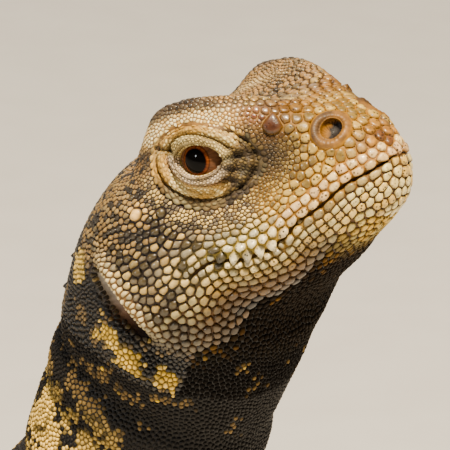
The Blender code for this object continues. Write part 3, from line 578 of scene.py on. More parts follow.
def lid_sheet(side):
    """The lids: rings round the eye's opening that roll in over the eyeball, out to the brow and cheek.

    Creases run round them at two distances, and the skin between two creases is puffed. In front of
    the eye the skin is drawn into wrinkles that fan out from its corner.
    """
    middle, run, rise, out = eye_axes(side)
    turn = angles(LID_COLUMNS)
    x, z = almond(turn)
    rolled = []
    for grow, far in LID_ROLL:
        a, b = x * grow, z * grow
        deep = np.sqrt(far**2 - a**2 - b**2)
        rolled.append(middle + a[:, None] * run + b[:, None] * rise + deep[:, None] * out)
    share = (np.linspace(0, 1, LID_ROWS) ** 1.05)[:, None]
    long, high = lid_reach(np.cos(turn), np.sin(turn))
    wide, high = long * np.cos(turn), high * np.sin(turn)
    a, b = x * 1.09 + (wide - x * 1.09) * share, z * 1.09 + (high - z * 1.09) * share
    start_s, start_t = LID_START[side]
    s, t = find(middle, run, rise, a, b, np.full(a.shape, start_s), np.full(a.shape, start_t), 9)
    points = np.concatenate([np.array(rolled), trunk(s, t)])
    order = face_outwards(points, out)
    points = points[order]
    a, b, s, t = [np.concatenate([np.repeat(field[:1], len(rolled), 0), field])[order]
                  for field in (a, b, s, t)]
    on_skin = climb(np.arange(len(points)) - len(rolled), -1, 2)[:, None]
    relief, inner, outer = lid_relief(a, b, points, on_skin)
    points = points + finish_sheet(points).normal * relief[..., None]
    return finish_sheet(points, s=s, t=t, up=np.sin(t), along=a, across=b, inner=inner, outer=outer)


def nostril_sheet(side):
    """A nostril: a low rim round an oval hole that narrows and turns in, by rings about its middle."""
    run, rise, out = head_axes(side, (0.45, 0.8, 0.35), (0.6, 0, 0.8))
    middle = from_head((NOSTRIL[0], side * NOSTRIL[1], NOSTRIL[2]))
    turn = angles(NOSTRIL_COLUMNS)
    share = np.linspace(1, 0, NOSTRIL_ROWS)[:, None]
    a = (1.3 + 1.3 * share) * np.cos(turn)
    b = (1.12 + 1.13 * share) * np.sin(turn)
    start_s, start_t = NOSTRIL_START[side]
    s, t = find(middle, run, rise, a, b, np.full(a.shape, start_s), np.full(a.shape, start_t), 8)
    raised = 0.42 * np.sin(math.pi * np.clip(1.1 * (1 - share) ** 1.2, 0, 1)) ** 0.7
    skin = trunk(s, t)
    ridges = 0.5 * np.sin(22 * turn + 3 * cloud(skin, 1.5, 73)) * ease((0.9 - share) / 0.2)
    uneven = (0.25 * (cloud(skin, 0.7, 71) - 0.5) + 0.08 * ridges) * (1 - share)
    skin = skin + (raised + uneven - 0.1 * (1 - share))[..., None] * out
    edge = skin[-1].mean(0)
    inside = [edge + (skin[-1] - edge) * narrow - out * deep - run * shift
              for narrow, deep, shift, _ in NOSTRIL_THROAT]
    points = np.concatenate([skin, np.array(inside)])[::-1]
    order = face_outwards(points[8:], out)
    depth = np.concatenate([np.linspace(-1, 0, NOSTRIL_ROWS), [row[3] for row in NOSTRIL_THROAT]])[::-1]
    s, t = [np.concatenate([field, np.repeat(field[-1:], len(inside), 0)])[::-1][order] for field in (s, t)]
    return finish_sheet(points[order], s=s, t=t, up=np.sin(t),
                        depth=np.repeat(depth[:, None], NOSTRIL_COLUMNS, 1))


def smooth_path(knots, step):
    """A smooth line through knots of any width, read off at equal steps: its rows of values."""
    knots = np.asarray(knots, float)
    index = np.arange(len(knots), dtype=float)
    fine = np.linspace(0, len(knots) - 1, 600)
    rows = np.stack([through(fine, np.stack([index, column], 1)) for column in knots.T], 1)
    run = np.concatenate([[0], np.cumsum(np.linalg.norm(np.diff(rows[:, :3], axis=0), axis=1))])
    even = np.linspace(0, run[-1], max(4, int(round(run[-1] / step))))
    return np.stack([np.interp(even, run, column) for column in rows.T], 1)


def ring_axes(path):
    """At each place on a path, or on each of several: its own way, the way up across it, and beside it."""
    way = unit(np.gradient(path, axis=-2))
    rise = unit(np.array([0, 0, 1]) - way * way[..., 2:3])
    return way, rise, np.cross(rise, way)


def rings_about(path, breadth, height, count):
    """The way along a path, and a ring about each of its places: height up and breadth beside."""
    way, rise, beside = ring_axes(path)
    turn = angles(count)
    ring = rise[..., None, :] * (height[..., None] * np.cos(turn))[..., None]
    return way, ring + beside[..., None, :] * (breadth[..., None] * np.sin(turn))[..., None]


def rest_on_floor(points, height=0.03):
    """No point is lower than just above the floor."""
    points[..., 2] = np.maximum(points[..., 2], height)
    return points


def on_side(points, side):
    """Tubes made for the left side: mirrored for the right, with their columns turned round."""
    points = points * np.array([1, side, 1])
    return points if side > 0 else np.flip(points, -2)


def limb_path(plan, base):
    """The middle line of a limb with its palm, from inside the trunk, and its breadth and height."""
    upper, lower = np.array(plan["upper"]), np.array(plan["lower"])
    palm, (long, wide, high) = np.array(plan["palm"]), plan["palm_size"]
    heading = math.radians(plan["heading"])
    ahead = np.array([math.cos(heading), math.sin(heading), 0])
    elbow = (upper[3] + lower[0]) / 2
    knots = [[*row[:3], row[3], row[3]] for row in (*upper[:3], elbow, *lower[1:3])]
    knots.append([*lower[3][:3], lower[3][3] * 1.05, lower[3][3] * 0.95])
    knots.append([*(palm - ahead * 0.1 * long + (0, 0, 0.3)), wide * 0.92, high * 1.15])
    knots.append([*(palm + ahead * 0.55 * long), wide, high * 0.95])
    knots.append([*(palm + ahead * 0.85 * long), wide * 0.82, high * 0.8])
    rows = smooth_path(knots, LIMB_STEP)
    return rows[:, :3] + base, rows[:, 3], rows[:, 4]


def limb_root(body, path, breadth, way, circle):
    """Where a limb leaves the trunk: its ring there, widened and laid on the trunk's skin.

    With it come the middle of the hole and the first ring of the limb's open tube.
    """
    skin, normal = body.points.reshape(-1, 3), body.normal.reshape(-1, 3)
    gap = np.linalg.norm(path[:60, None] - skin[None, ::3], axis=-1)
    nearest = gap.argmin(1) * 3
    out = dot(path[:60] - skin[nearest], normal[nearest])
    leaves = int(np.argmax(out > -0.3))
    hole = nearest[leaves]
    exit_point, exit_normal = skin[hole], normal[hole]
    wanted = circle[leaves] * 1.42
    slant = max(0.45, float(dot(way[leaves], exit_normal)))
    wanted = wanted - way[leaves] * (dot(wanted, exit_normal) / slant)[:, None]
    wanted = wanted * np.minimum(1, 2 * breadth[leaves] / np.linalg.norm(wanted, axis=-1))[:, None]
    along = unit(body.down.reshape(-1, 3)[hole])
    over = np.cross(exit_normal, along)
    start_s, start_t = [np.full(LIMB_COLUMNS, field.ravel()[hole]) for field in (body.s, body.t)]
    s, t = find(exit_point, along, over, dot(wanted, along), dot(wanted, over), start_s, start_t, 14)
    return trunk(s, t), exit_point, leaves + int(1.15 * breadth[leaves] / LIMB_STEP)


def limb_sheet(plan, station, side, body):
    """A limb with its palm as one tube that grows out of the trunk in a fillet.

    The first ring is the tube's own ring, widened and laid on the trunk. From it, curves with
    their first step along the trunk's skin and their last along the limb lead to the open tube.
    """
    base = np.array([float(np.interp(station, LINE_S, LINE_X)), 0, 0])
    path, breadth, height = limb_path(plan, base)
    way, circle = rings_about(path, breadth, height, LIMB_COLUMNS)
    root, exit_point, first = limb_root(body, path, breadth, way, circle)
    tube = path[:, None] + circle
    reach = np.linalg.norm(tube[first] - root, axis=-1, keepdims=True)
    lead = unit(exit_point - root) * reach * 0.8
    leave = way[first] * reach * 0.9
    u = (np.linspace(0, 1, FILLET_ROWS + 1) ** 1.1)[:-1, None, None]
    fillet = cubic(u, root, lead, tube[first], leave)
    closing = [circle[-1] * math.sqrt(max(0, 1 - share**2)) + path[-1] + way[-1] * 1.6 * share
               for share in (0.45, 0.75, 0.93, 1)]
    points = rest_on_floor(np.concatenate([fillet, tube[first:], np.array(closing)]))
    further = np.arange(len(points) - FILLET_ROWS)
    blend = np.concatenate([u[:, 0, 0], np.ones(len(further))])
    distance = np.concatenate([np.zeros(FILLET_ROWS), further * LIMB_STEP])
    blend, distance = [np.repeat(field[:, None], LIMB_COLUMNS, 1) for field in (blend, distance)]
    return finish_sheet(on_side(points, side), blend=blend, distance=distance), base


def toe_sheets(plan, base, side):
    """The five toes: tubes from inside the palm, thickest at the knuckle, and where each claw starts."""
    palm, wide = np.array(plan["palm"]), plan["palm_size"][1]
    heading = math.radians(plan["heading"])
    beside = np.array([-math.sin(heading), math.cos(heading), 0])
    sheets, claws = [], []
    for angle, length in plan["toes"]:
        turn = heading + math.radians(angle)
        way = np.array([math.cos(turn), math.sin(turn), 0])
        root = palm + way * (0.45 * wide) + beside * math.sin(math.radians(angle)) * 0.35 * wide
        reach = 0.55 * wide + length
        knots = [[*(root + way * reach * share + np.array([0, 0, height - palm[2]])),
                  plan["toe_radius"] * size] for share, height, size in TOE_PROFILE]
        rows = smooth_path(knots, TOE_STEP)
        path, size = rows[:, :3] + base, rows[:, 3]
        forward, rings = rings_about(path, size, 0.95 * size, TOE_COLUMNS)
        rings = path[:, None] + rings
        last = np.array([path[-1] + (rings[-1] - path[-1]) * share + forward[-1] * further * size[-1]
                         for share, further in ((0.8, 0.4), (0.4, 0.7), (0.02, 0.8))])
        points = on_side(rest_on_floor(np.concatenate([rings, last])), side)
        ones = np.ones(points.shape[:2])
        sheets.append(finish_sheet(points, blend=ones, distance=ones))
        start = root + way * (reach - CLAW_OVERLAP) + base
        start[2] = CLAW_HEIGHT
        claws.append((start, way))
    return sheets, claws


# Roots and cells of scales.

def neighbours(points, others, reach, keep):
    """The nearest others to each point, none further than reach.

    The others are sorted into cubes one reach wide. Each point looks through nine columns of three
    cubes about it, and the finds are laid out in a table with one row for each point.
    """
    low = np.minimum(points.min(0), others.min(0)) - 2 * reach
    count = (np.floor((np.maximum(points.max(0), others.max(0)) - low) / reach) + 3).astype(np.int64)
    weight = np.array([count[1] * count[2], count[2], 1])
    key = (np.floor((others - low) / reach).astype(np.int64) * weight).sum(-1)
    order = np.argsort(key, kind="stable")
    key = key[order]
    columns = np.stack(np.meshgrid([-1, 0, 1], [-1, 0, 1], indexing="ij"), -1).reshape(-1, 2) @ weight[:2]
    who_all, far_all = [], []
    for block in np.array_split(np.arange(len(points)), max(1, len(points) // 8000)):
        mine = points[block]
        middle = (np.floor((mine - low) / reach).astype(np.int64) * weight).sum(-1)[:, None] + columns
        start = np.searchsorted(key, middle - 1, side="left").ravel()
        length = np.searchsorted(key, middle + 1, side="right").ravel() - start
        within = np.arange(length.sum()) - np.repeat(np.cumsum(length) - length, length)
        who = order[np.repeat(start, length) + within]
        owner = np.repeat(np.repeat(np.arange(len(block)), 9), length)
        gap = others[who] - mine[owner]
        far = np.sqrt((gap * gap).sum(-1))
        near = (far < reach) & (far > 1e-6)
        who, owner, far = who[near], owner[near], far[near]
        found = np.bincount(owner, minlength=len(block))
        slot = np.arange(len(owner)) - np.repeat(np.cumsum(found) - found, found)
        table = np.full((len(block), max(keep, int(found.max(initial=0)))), 1e6)
        names = np.zeros(table.shape, dtype=np.int64)
        table[owner, slot], names[owner, slot] = far, who
        best = np.argpartition(table, keep - 1, axis=1)[:, :keep]
        who_all.append(np.take_along_axis(names, best, 1))
        far_all.append(np.take_along_axis(table, best, 1))
    return np.concatenate(who_all), np.concatenate(far_all)


def cells(roots, others, directions, groove):
    """The outline of each scale: how far its cell reaches in each direction, and how the skin bends under it.

    Gaps are measured with lengths along the root's run divided by the root of its stretch, and those
    beside it times that root. In every direction a neighbour's border is where the line between both
    roots is parted in the ratio of their sizes, and the nearest border wins, by a soft minimum that
    rounds the corners a little. The bend is the paraboloid that fits the neighbours' roots best.
    """
    size, normal, run = roots.size, roots.normal, roots.run
    who, far = neighbours(roots.point, others.point, float(size.max()) * 2.1, 12)
    gap = others.point[who] - roots.point[:, None]
    beside = np.cross(normal, run)
    x, y, z = dot(gap, run[:, None]), dot(gap, beside[:, None]), dot(gap, normal[:, None])
    stretch = np.sqrt(roots.stretch)[:, None]
    flat = np.maximum(np.hypot(x / stretch, y * stretch), 1e-6)
    real = (far < 1e5) & (np.abs(z) < 0.9 * np.hypot(x, y) + 0.1)
    share = size[:, None] / (size[:, None] + others.size[who])
    turn = angles(directions)
    along, across = np.cos(turn) / stretch, np.sin(turn) * stretch
    facing = (x / stretch)[:, None] * along[..., None] + (y * stretch)[:, None] * across[..., None]
    facing = facing / flat[:, None]
    border = (flat * share)[:, None] / np.maximum(facing, 0.02)
    border = np.where((facing > 0.05) & real[:, None], border, 1e3)
    reach = (border ** -14).sum(-1) ** (-1 / 14)
    reach = np.minimum(reach, 0.8 * size[:, None] / np.hypot(along, across)) - groove[:, None] / 2
    weight = real / (x * x + y * y + 0.05)
    terms = np.stack([x * x, x * y, y * y], -1)
    left = np.einsum("nk,nki,nkj->nij", weight, terms, terms) + 0.02 * np.eye(3)
    bend = np.linalg.solve(left, np.einsum("nk,nki,nk->ni", weight, terms, z)[..., None])[..., 0]
    most = (0.45 / size)[:, None]
    return np.maximum(reach, 0.12 * size[:, None]), np.clip(bend, -most, most), turn


def plant(sheet, size, draw, fixed=None, rounds=9, low=0, high=None, stretch=None):
    """Roots of scales spread evenly over a sheet, as close together as the wanted size at each place.

    They start at random places with the right density, and then each moves a few times to the
    middle of its own cell. Where the wanted size is 0 there are none.
    """
    high = sheet.points.shape[0] - 1 if high is None else high
    area = np.linalg.norm(np.cross(sheet.down, sheet.beside), axis=-1)
    want = np.where(size > 0, area / (0.88 * np.maximum(size, 0.05) ** 2), 0)
    want[:low] = 0
    want[high:] = 0
    total = np.cumsum(want.ravel())
    count = int(total[-1])
    mark = (np.arange(count) + draw.random(count)) * total[-1] / count
    cell = np.minimum(np.searchsorted(total, mark), want.size - 1)
    columns = want.shape[1]
    row = np.clip(cell // columns + draw.random(count) - 0.5, low, high)
    column = cell % columns + draw.random(count) - 0.5
    rough = draw.uniform(0.9, 1.12, count)
    stretch = np.ones(size.shape) if stretch is None else stretch
    for _ in range(rounds):
        roots = read_roots(sheet, row, column, size, rough, stretch)
        others = roots if fixed is None else join_roots([roots, fixed])
        reach, _, turn = cells(roots, others, 12, np.zeros(count))
        cube = reach**3
        across = (cube * np.cos(turn)).sum(-1) / (reach**2).sum(-1) * (2 / 3)
        over = (cube * np.sin(turn)).sum(-1) / (reach**2).sum(-1) * (2 / 3)
        move = roots.run * across[:, None] + np.cross(roots.normal, roots.run) * over[:, None]
        down, beside = on_sheet(sheet, row, column, "down", "beside")
        dd, db, bb = dot(down, down) + 1e-5, dot(down, beside), dot(beside, beside) + 1e-5
        md, mb = dot(move, down), dot(move, beside)
        whole = np.maximum(dd * bb - db * db, 1e-8)
        new_row = np.clip(row + np.clip((md * bb - mb * db) / whole, -4, 4), low, high)
        new_column = column + np.clip((mb * dd - md * db) / whole, -6, 6)
        fits = read_grid(size, new_row, new_column) > 0
        row, column = np.where(fits, new_row, row), np.where(fits, new_column, column)
    return read_roots(sheet, row, column, size, rough, stretch)


def read_grid(values, row, column):
    """A value at the grid point nearest to each place."""
    i = np.clip(np.round(row).astype(int), 0, values.shape[0] - 1)
    return values[i, np.round(column).astype(int) % values.shape[1]]


def read_roots(sheet, row, column, size, rough, stretch):
    """Roots at places on a sheet: their point, normal, way back, size and place on the sheet's unwrap."""
    rows, columns = sheet.points.shape[:2]
    point, normal, down = on_sheet(sheet, row, column, "points", "normal", "down")
    normal = unit(normal)
    run = unit(down - normal * dot(down, normal)[:, None])
    roots = Fields(point=point, normal=normal, run=run, size=read_grid(size, row, column) * rough)
    roots.stretch = read_grid(stretch, row, column)
    roots.place = np.stack([row / rows, np.mod(column / columns, 1)], -1)
    for name in ("s", "up", "along", "across", "blend", "inner", "outer"):
        roots[name] = on_sheet(sheet, row, column, name) if name in sheet else np.zeros(len(row))
    return roots


def join_roots(groups):
    """Several groups of roots as one."""
    return Fields({name: np.concatenate([group[name] for group in groups]) for name in groups[0]})


def pick_roots(roots, which):
    """The roots at which a test holds."""
    return Fields({name: value[which] for name, value in roots.items()})


def not_inside(roots, sheet, depth=0, step=4, reach=9):
    """Which roots don't lie under another sheet, by the side of its nearest point.

    A root that lies before the other sheet's first row, where that sheet is open, is beside it.
    """
    points, normals, downs = [field[::step, ::step].reshape(-1, 3)
                              for field in (sheet.points, sheet.normal, sheet.down)]
    first_row = sheet.points[:1, ::step].shape[1]
    low, high = points.min(0) - reach, points.max(0) + reach
    near = ((roots.point > low) & (roots.point < high)).all(-1)
    fine = np.ones(len(near), dtype=bool)
    if near.any():
        who, far = neighbours(roots.point[near], points, reach, 1)
        who, far = who[:, 0], far[:, 0]
        gap = roots.point[near] - points[who]
        under = (dot(gap, normals[who]) < depth) & (far < 1e5)
        beside = (who < first_row) & (dot(gap, downs[who]) < 0)
        fine[near] = ~under | beside
    return fine


HEAD_GROUPS = ("lids_left", "lids_right", "lips", "large", "bare", "head", "neck")
DOME = ((1, -0.22), (0.95, 0.22), (0.8, 0.62), (0.5, 0.92))
LOW_DOME = ((1, -0.25), (0.9, 0.42), (0.55, 0.92))
FEW_RINGS = ((1, -0.25), (0.76, 0.74))


def raise_scales(roots, others, height, peak, lean, groove, rings, directions):
    """Meshes of scales: rings of each cell, drawn in and lifted to a rounded or a pointed top.

    Each ring is the cell's outline times a share, shifted by the lean times what is left of the
    share, on the bent skin. It is lifted along the root's normal by a dome, by a cone where the peak
    is 1, or less than a dome where it is under 0. None goes under the floor.
    """
    reach, bend, turn = cells(roots, others, directions, groove)
    beside = np.cross(roots.normal, roots.run)
    layers = []
    for share, rise in (*rings, (0, 1)):
        sharp = 1 - share if rise > 0 else rise
        lift = height * np.minimum(rise + (sharp - rise) * peak, 1)
        left = 1 - share**1.5
        x = reach * share * np.cos(turn) + lean[:, :1] * left
        y = reach * share * np.sin(turn) + lean[:, 1:] * left
        z = bend[:, :1] * x * x + bend[:, 1:2] * x * y + bend[:, 2:] * y * y + lift[:, None]
        layer = roots.point[:, None] + roots.run[:, None] * x[..., None]
        layer = layer + beside[:, None] * y[..., None] + roots.normal[:, None] * z[..., None]
        layers.append(layer if share > 0 else layer[:, :1])
    return rest_on_floor(np.concatenate(layers, 1), 0.01)


def scale_faces(count, rings, directions):
    """Faces of scales: bands between rings, a fan at the top and one face underneath."""
    around = np.arange(directions)
    after = (around + 1) % directions
    size = rings * directions + 1
    start = (np.arange(count) * size)[:, None, None]
    bands = []
    for k in range(rings - 1):
        low, high = k * directions, (k + 1) * directions
        bands.append(np.stack([low + around, low + after, high + after, high + around], -1))
    quads = (start + np.concatenate(bands)[None]).reshape(-1, 4)
    last = (rings - 1) * directions
    fan = np.stack([last + around, last + after, np.full(directions, size - 1)], -1)
    fans = (start + fan[None]).reshape(-1, 3)
    under = (start[:, :, 0] + around[::-1]).reshape(-1, directions)
    return [quads, fans, under]


def grid_faces(rows, columns, offset=0):
    """Faces of a grid closed round its columns, looking out where its rows run back and its columns up."""
    i, j = np.meshgrid(np.arange(rows - 1), np.arange(columns), indexing="ij")
    k = (j + 1) % columns
    face = np.stack([i * columns + j, (i + 1) * columns + j, (i + 1) * columns + k, i * columns + k], -1)
    return face.reshape(-1, 4) + offset


def tube_faces(count, rows, columns):
    """Faces of a number of equal tubes, each closed at both ends."""
    start = (np.arange(count) * rows * columns)[:, None]
    ring = np.arange(columns)[None]
    quads = (grid_faces(rows, columns)[None] + start[..., None]).reshape(-1, 4)
    return [quads, ring + start, (rows - 1) * columns + ring[:, ::-1] + start]


def add_object(name, data):
    """A new object of this name, put into the scene."""
    thing = bpy.data.objects.new(name, data)
    bpy.context.scene.collection.objects.link(thing)
    return thing


def make_piece(name, points, faces, material, layers=None, place_on_map=None, stands_for=()):
    """A finished object at the origin from points in millimetres and arrays of faces of any size."""
    mesh = bpy.data.meshes.new(name)
    points = np.ascontiguousarray(points.reshape(-1, 3) * MM, dtype=np.float32)
    corners = np.concatenate([group.ravel() for group in faces]).astype(np.int32)
    sizes = np.concatenate([np.full(len(group), group.shape[1]) for group in faces])
    starts = np.concatenate([[0], np.cumsum(sizes)[:-1]]).astype(np.int32)
    mesh.vertices.add(len(points))
    mesh.vertices.foreach_set("co", points.ravel())
    mesh.loops.add(len(corners))
    mesh.loops.foreach_set("vertex_index", corners)
    mesh.polygons.add(len(sizes))
    mesh.polygons.foreach_set("loop_start", starts)
    mesh.update(calc_edges=True)
    mesh.polygons.foreach_set("use_smooth", np.ones(len(sizes), dtype=bool))
    for layer, values in (layers or {}).items():
        if values.ndim == 2:
            colour = np.concatenate([values, np.ones((len(values), 1))], 1).astype(np.float32)
            mesh.color_attributes.new(layer, "FLOAT_COLOR", "POINT").data.foreach_set("color", colour.ravel())
        else:
            mesh.attributes.new(layer, "FLOAT", "POINT").data.foreach_set("value", values.astype(np.float32))
    if place_on_map is not None:
        uv = mesh.uv_layers.new(name="OFBake")
        uv.data.foreach_set("uv", place_on_map[corners].astype(np.float32).ravel())
    mesh.materials.append(material)
    thing = add_object(name, mesh)
    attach(thing, "root")
    if stands_for:
        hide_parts(*stands_for)
    return thing


def make_skin(name, sheets, colours, material, nodes=()):
    """Sheets of skin as one piece, closed round their columns and mapped by row and column."""
    points, faces, spots, count = [], [], [], 0
    for sheet in sheets:
        rows, columns = sheet.points.shape[:2]
        points.append(sheet.points.reshape(-1, 3))
        faces.append(grid_faces(rows, columns, count))
        spot = np.meshgrid(np.arange(rows) / rows, np.arange(columns) / columns, indexing="ij")
        spots.append(np.stack(spot, -1).reshape(-1, 2))
        count += rows * columns
    layers = {"Colour": np.concatenate([colour.reshape(-1, 3) for colour in colours])}
    make_piece(name, np.concatenate(points), faces, material, layers, np.concatenate(spots), nodes)


def make_scales(name, roots, others, shape, looks, rings, directions, material, most=190000):
    """Pieces of scales under the most triangles each, in bands along the body."""
    per_scale = directions * (2 * (len(rings) - 1) + 1) + directions - 2
    count = len(roots.size)
    order = np.argsort(roots.place[:, 0], kind="stable")
    parts = max(1, math.ceil(count * per_scale / most))
    for number, which in enumerate(np.array_split(order, parts)):
        group = pick_roots(roots, which)
        height, peak, lean, groove = [field[which] for field in shape]
        points = raise_scales(group, others, height, peak, lean, groove, rings, directions)
        each = points.shape[1]
        share = np.concatenate([np.repeat([ring[0] for ring in rings], directions), [0]])
        top, rim, dots = [field[which] for field in looks]
        # Each scale's rim blends into the colour of the skin between scales, partly that skin's own colour
        # and partly painted shade in the grooves.
        low = climb(share, 0.72, 0.25)[None, :, None]
        colour = top[:, None] * (1 - 0.85 * low) + rim[:, None] * 0.85 * low
        angle = np.concatenate([np.tile(angles(directions), len(rings)), [0]])
        spread = MAP_PATCH * share[:, None] * np.stack([np.cos(angle), np.sin(angle)], -1)
        layers = {"Colour": colour.reshape(-1, 3), "Dots": np.repeat(dots, each),
                  "Edge": np.tile(share, len(which))}
        faces = scale_faces(len(which), len(rings), directions)
        make_piece(f"{name}_{number + 1}", points, faces, material, layers,
                   (group.place[:, None] + spread[None]).reshape(-1, 2))


def make_low_scales(name, roots, others, height, peak, lean, looks, material, groove=0.03,
                    rings=FEW_RINGS):
    """Pieces of low scales with few faces. Height, peak and the lean back are shares of a scale's size."""
    size = roots.size
    shape = (size * height, peak + 0 * size, np.stack([size * lean, 0 * size], -1), groove + 0.03 * size)
    make_scales(name, roots, others, shape, looks, rings, 8, material)


# Markings.

def colours_of(context):
    """The chosen colours as arrays, by name."""
    chosen = context.scene.lizard_colours
    return SimpleNamespace(**{name: np.array(getattr(chosen, name)) for name in COLOURS})


def bare(sheet):
    """A sheet of skin as sites for its markings, all with the middling chance."""
    return Fields(sheet, point=sheet.points, chance=np.full(sheet.points.shape[:2], 0.5))


class Coat:
    """Colours of scales, top, and of the skin between them, gap, laid over one another zone by zone."""

    def __init__(self, top, gap):
        """Starts with one colour for the scales and one for the skin between them."""
        self.top, self.gap = top, gap

    def lay(self, zone, top=None, cover=1, gap=None, gap_cover=1):
        """Lays colours where the zone is 1, each as thick as it covers."""
        if top is not None:
            self.top = mix(self.top, top, cover * zone)
        if gap is not None:
            self.gap = mix(self.gap, gap, gap_cover * zone)


def head_place(site):
    """What the head's markings go by: places in its own axes, soft noise and each scale's pick."""
    at = x, y, z = to_head(site.point)
    up, patch = site.up, cloud(site.point, 3.6, 1)
    here = Fields(site, at=at, x=x, y=y, z=z, patch=patch, pick=0.4 * patch + 0.6 * site.chance)
    here.small, here.wide = cloud(site.point, 1.5, 2), cloud(site.point, 8, 3)
    here.jaw = ease(-up * 6 - 0.1)
    here.corner = hump(at, (-16, 11.5, -3.4), (4.2, 6, 1.4))
    here.low_cheek = hump(at, (-25, 13, -8.5), (4.5, 6, 2.8))
    here.throat = ease((-up - 0.38 - 0.3 * (patch - 0.5)) / 0.22) * climb(-x, 5, 8)
    return here


def either(here, one, other, start=0.4, width=0.3):
    """One of two colours, or between them, by each scale's pick."""
    return mix(one, other, climb(here.pick, start, width))


def lay_cheek_and_snout(here, tint):
    """The first coat: tan cheeks with grey scales, yellow jaw, brown snout with paler sides, and crown."""
    x, z = here.x, here.z
    coat = Coat(either(here, tint.cheek, tint.cheek_light, 0.4, 0.25),
                mix(tint.groove, tint.groove * 0.45, climb(-x, 16, 5)))
    coat.lay(ease((0.42 - here.pick) / 0.06), tint.grey, 0.9)
    coat.lay(climb(-x, 22.5, 3) * climb(z, -0.5, 2), either(here, tint.temple, tint.grey, 0.5, 0.2), 0.8)
    coat.lay(here.jaw * ease((31 + x) / 5), either(here, tint.jaw, tint.jaw_warm), 0.9, tint.jaw_groove, 0.85)
    snout = ease((x + 14.5 - 3 * (here.patch - 0.5) - 4 * climb(z, 7, 2)) / 3) * (1 - here.jaw)
    high = np.maximum(ease((z - 6.2 - 0.25 * (-x - 4)) / 1.8), climb(x, -3.6, 1.6))
    low_snout = either(here, tint.snout_olive, tint.snout_pale, 0.38)
    high_snout = either(here, tint.snout, tint.snout_brown, 0.45, 0.25)
    # The skin between scales on top of the snout is darker, partly its own colour and partly painted shade in
    # the grooves.
    coat.lay(snout, mix(low_snout, high_snout, high), 1, mix(tint.snout_groove, tint.snout_groove_top, high))
    lip_far = above_mouth(here.s, here.up)
    lip = ease((2.4 - lip_far) / 0.5) * ease(lip_far + 0.2) * climb(x, -17.5, 2)
    coat.lay(lip, either(here, tint.lip, tint.lip_pink, 0.42, 0.25), 0.85, tint.lip_groove, 0.7)
    coat.lay(here.corner, tint.corner_scale, 0.8, tint.corner_groove)
    crown = ease((z - 4.6 - 0.3 * (-x - 20)) / 3) * climb(-x, 9, 4)
    coat.lay(crown, either(here, tint.crown, tint.crown_dark, 0.48, 0.15), 0.9, tint.crown_groove)
    return coat


def lay_dark_patches(coat, here, tint):
    """Charcoal scales: gathered in patches on the cheek and temple, behind the eye and before it."""
    x, z = here.x, here.z
    gather = 0.6 * climb(-x, 22.5, 3) * climb(z, -12, 3) + 0.72 * hump(here.at, (-21.5, 13, 0.2), (5, 6, 1.8))
    # Low on the cheek more charcoal scales gather: partly the skin's own dark scales, partly painted shade
    # where the head turns under.
    gather = gather - 0.5 * here.jaw * ease((28 + x) / 4) + 0.65 * here.low_cheek
    dark = climb(here.pick + 0.26 * gather, 0.76, 0.05) * climb(-x, 12, 6)
    coat.lay(dark, tint.dark, 0.92, coat.gap * 0.4)
    coat.lay(hump(here.at, (-22.4, 11.9, 9.2), (2.4, 4, 0.9)), tint.dark, 0.8)
    ahead = hump(here.at, (-10.8, 8.2, 4.8), (2.7, 5, 2.6))
    ahead = np.maximum(ahead, 0.6 * hump(here.at, (-12.6, 9, 2.6), (2.2, 5, 1.4)))
    coat.lay(ahead, tint.dark, 0.95 * (0.75 + 0.25 * here.chance), tint.dark * 0.5, 0.9)


def lay_brow(coat, here, tint):
    """The pale ridge over the eye, dusky above and plum-brown in front, and its tubercle and knob."""
    x, y = here.x, here.y
    height = here.z - through(-x, BROW_BAND)
    dusky = climb(height, 0.8, 0.5) * climb(y, 8.4, 1) * climb(-x, 10, 2.5) * climb(x, -27, 3)
    coat.lay(dusky, mix(tint.grey, tint.dark, 0.55 + 0.4 * climb(here.pick, 0.4, 0.2)), 0.9)
    brow = bell(height, 1.05, 4) * climb(y, 5.5, 2) * climb(-x, 7.6, 1.5) * climb(x, -25, 3)
    colour = mix(either(here, tint.brow, tint.brow_warm), tint.brow_front, climb(x, -14, 3))
    coat.lay(brow, colour, 1, tint.brow_groove, 0.8)
    coat.lay(ease(hump(here.at, (-25.8, 13.8, 4), (1, 3, 1)) * 2 - 0.5), tint.brow_warm)
    coat.lay(hump(here.at, (-9.3, 6.9, 7.5), (1.2, 3, 1.2)), tint.brow_front * 0.36)


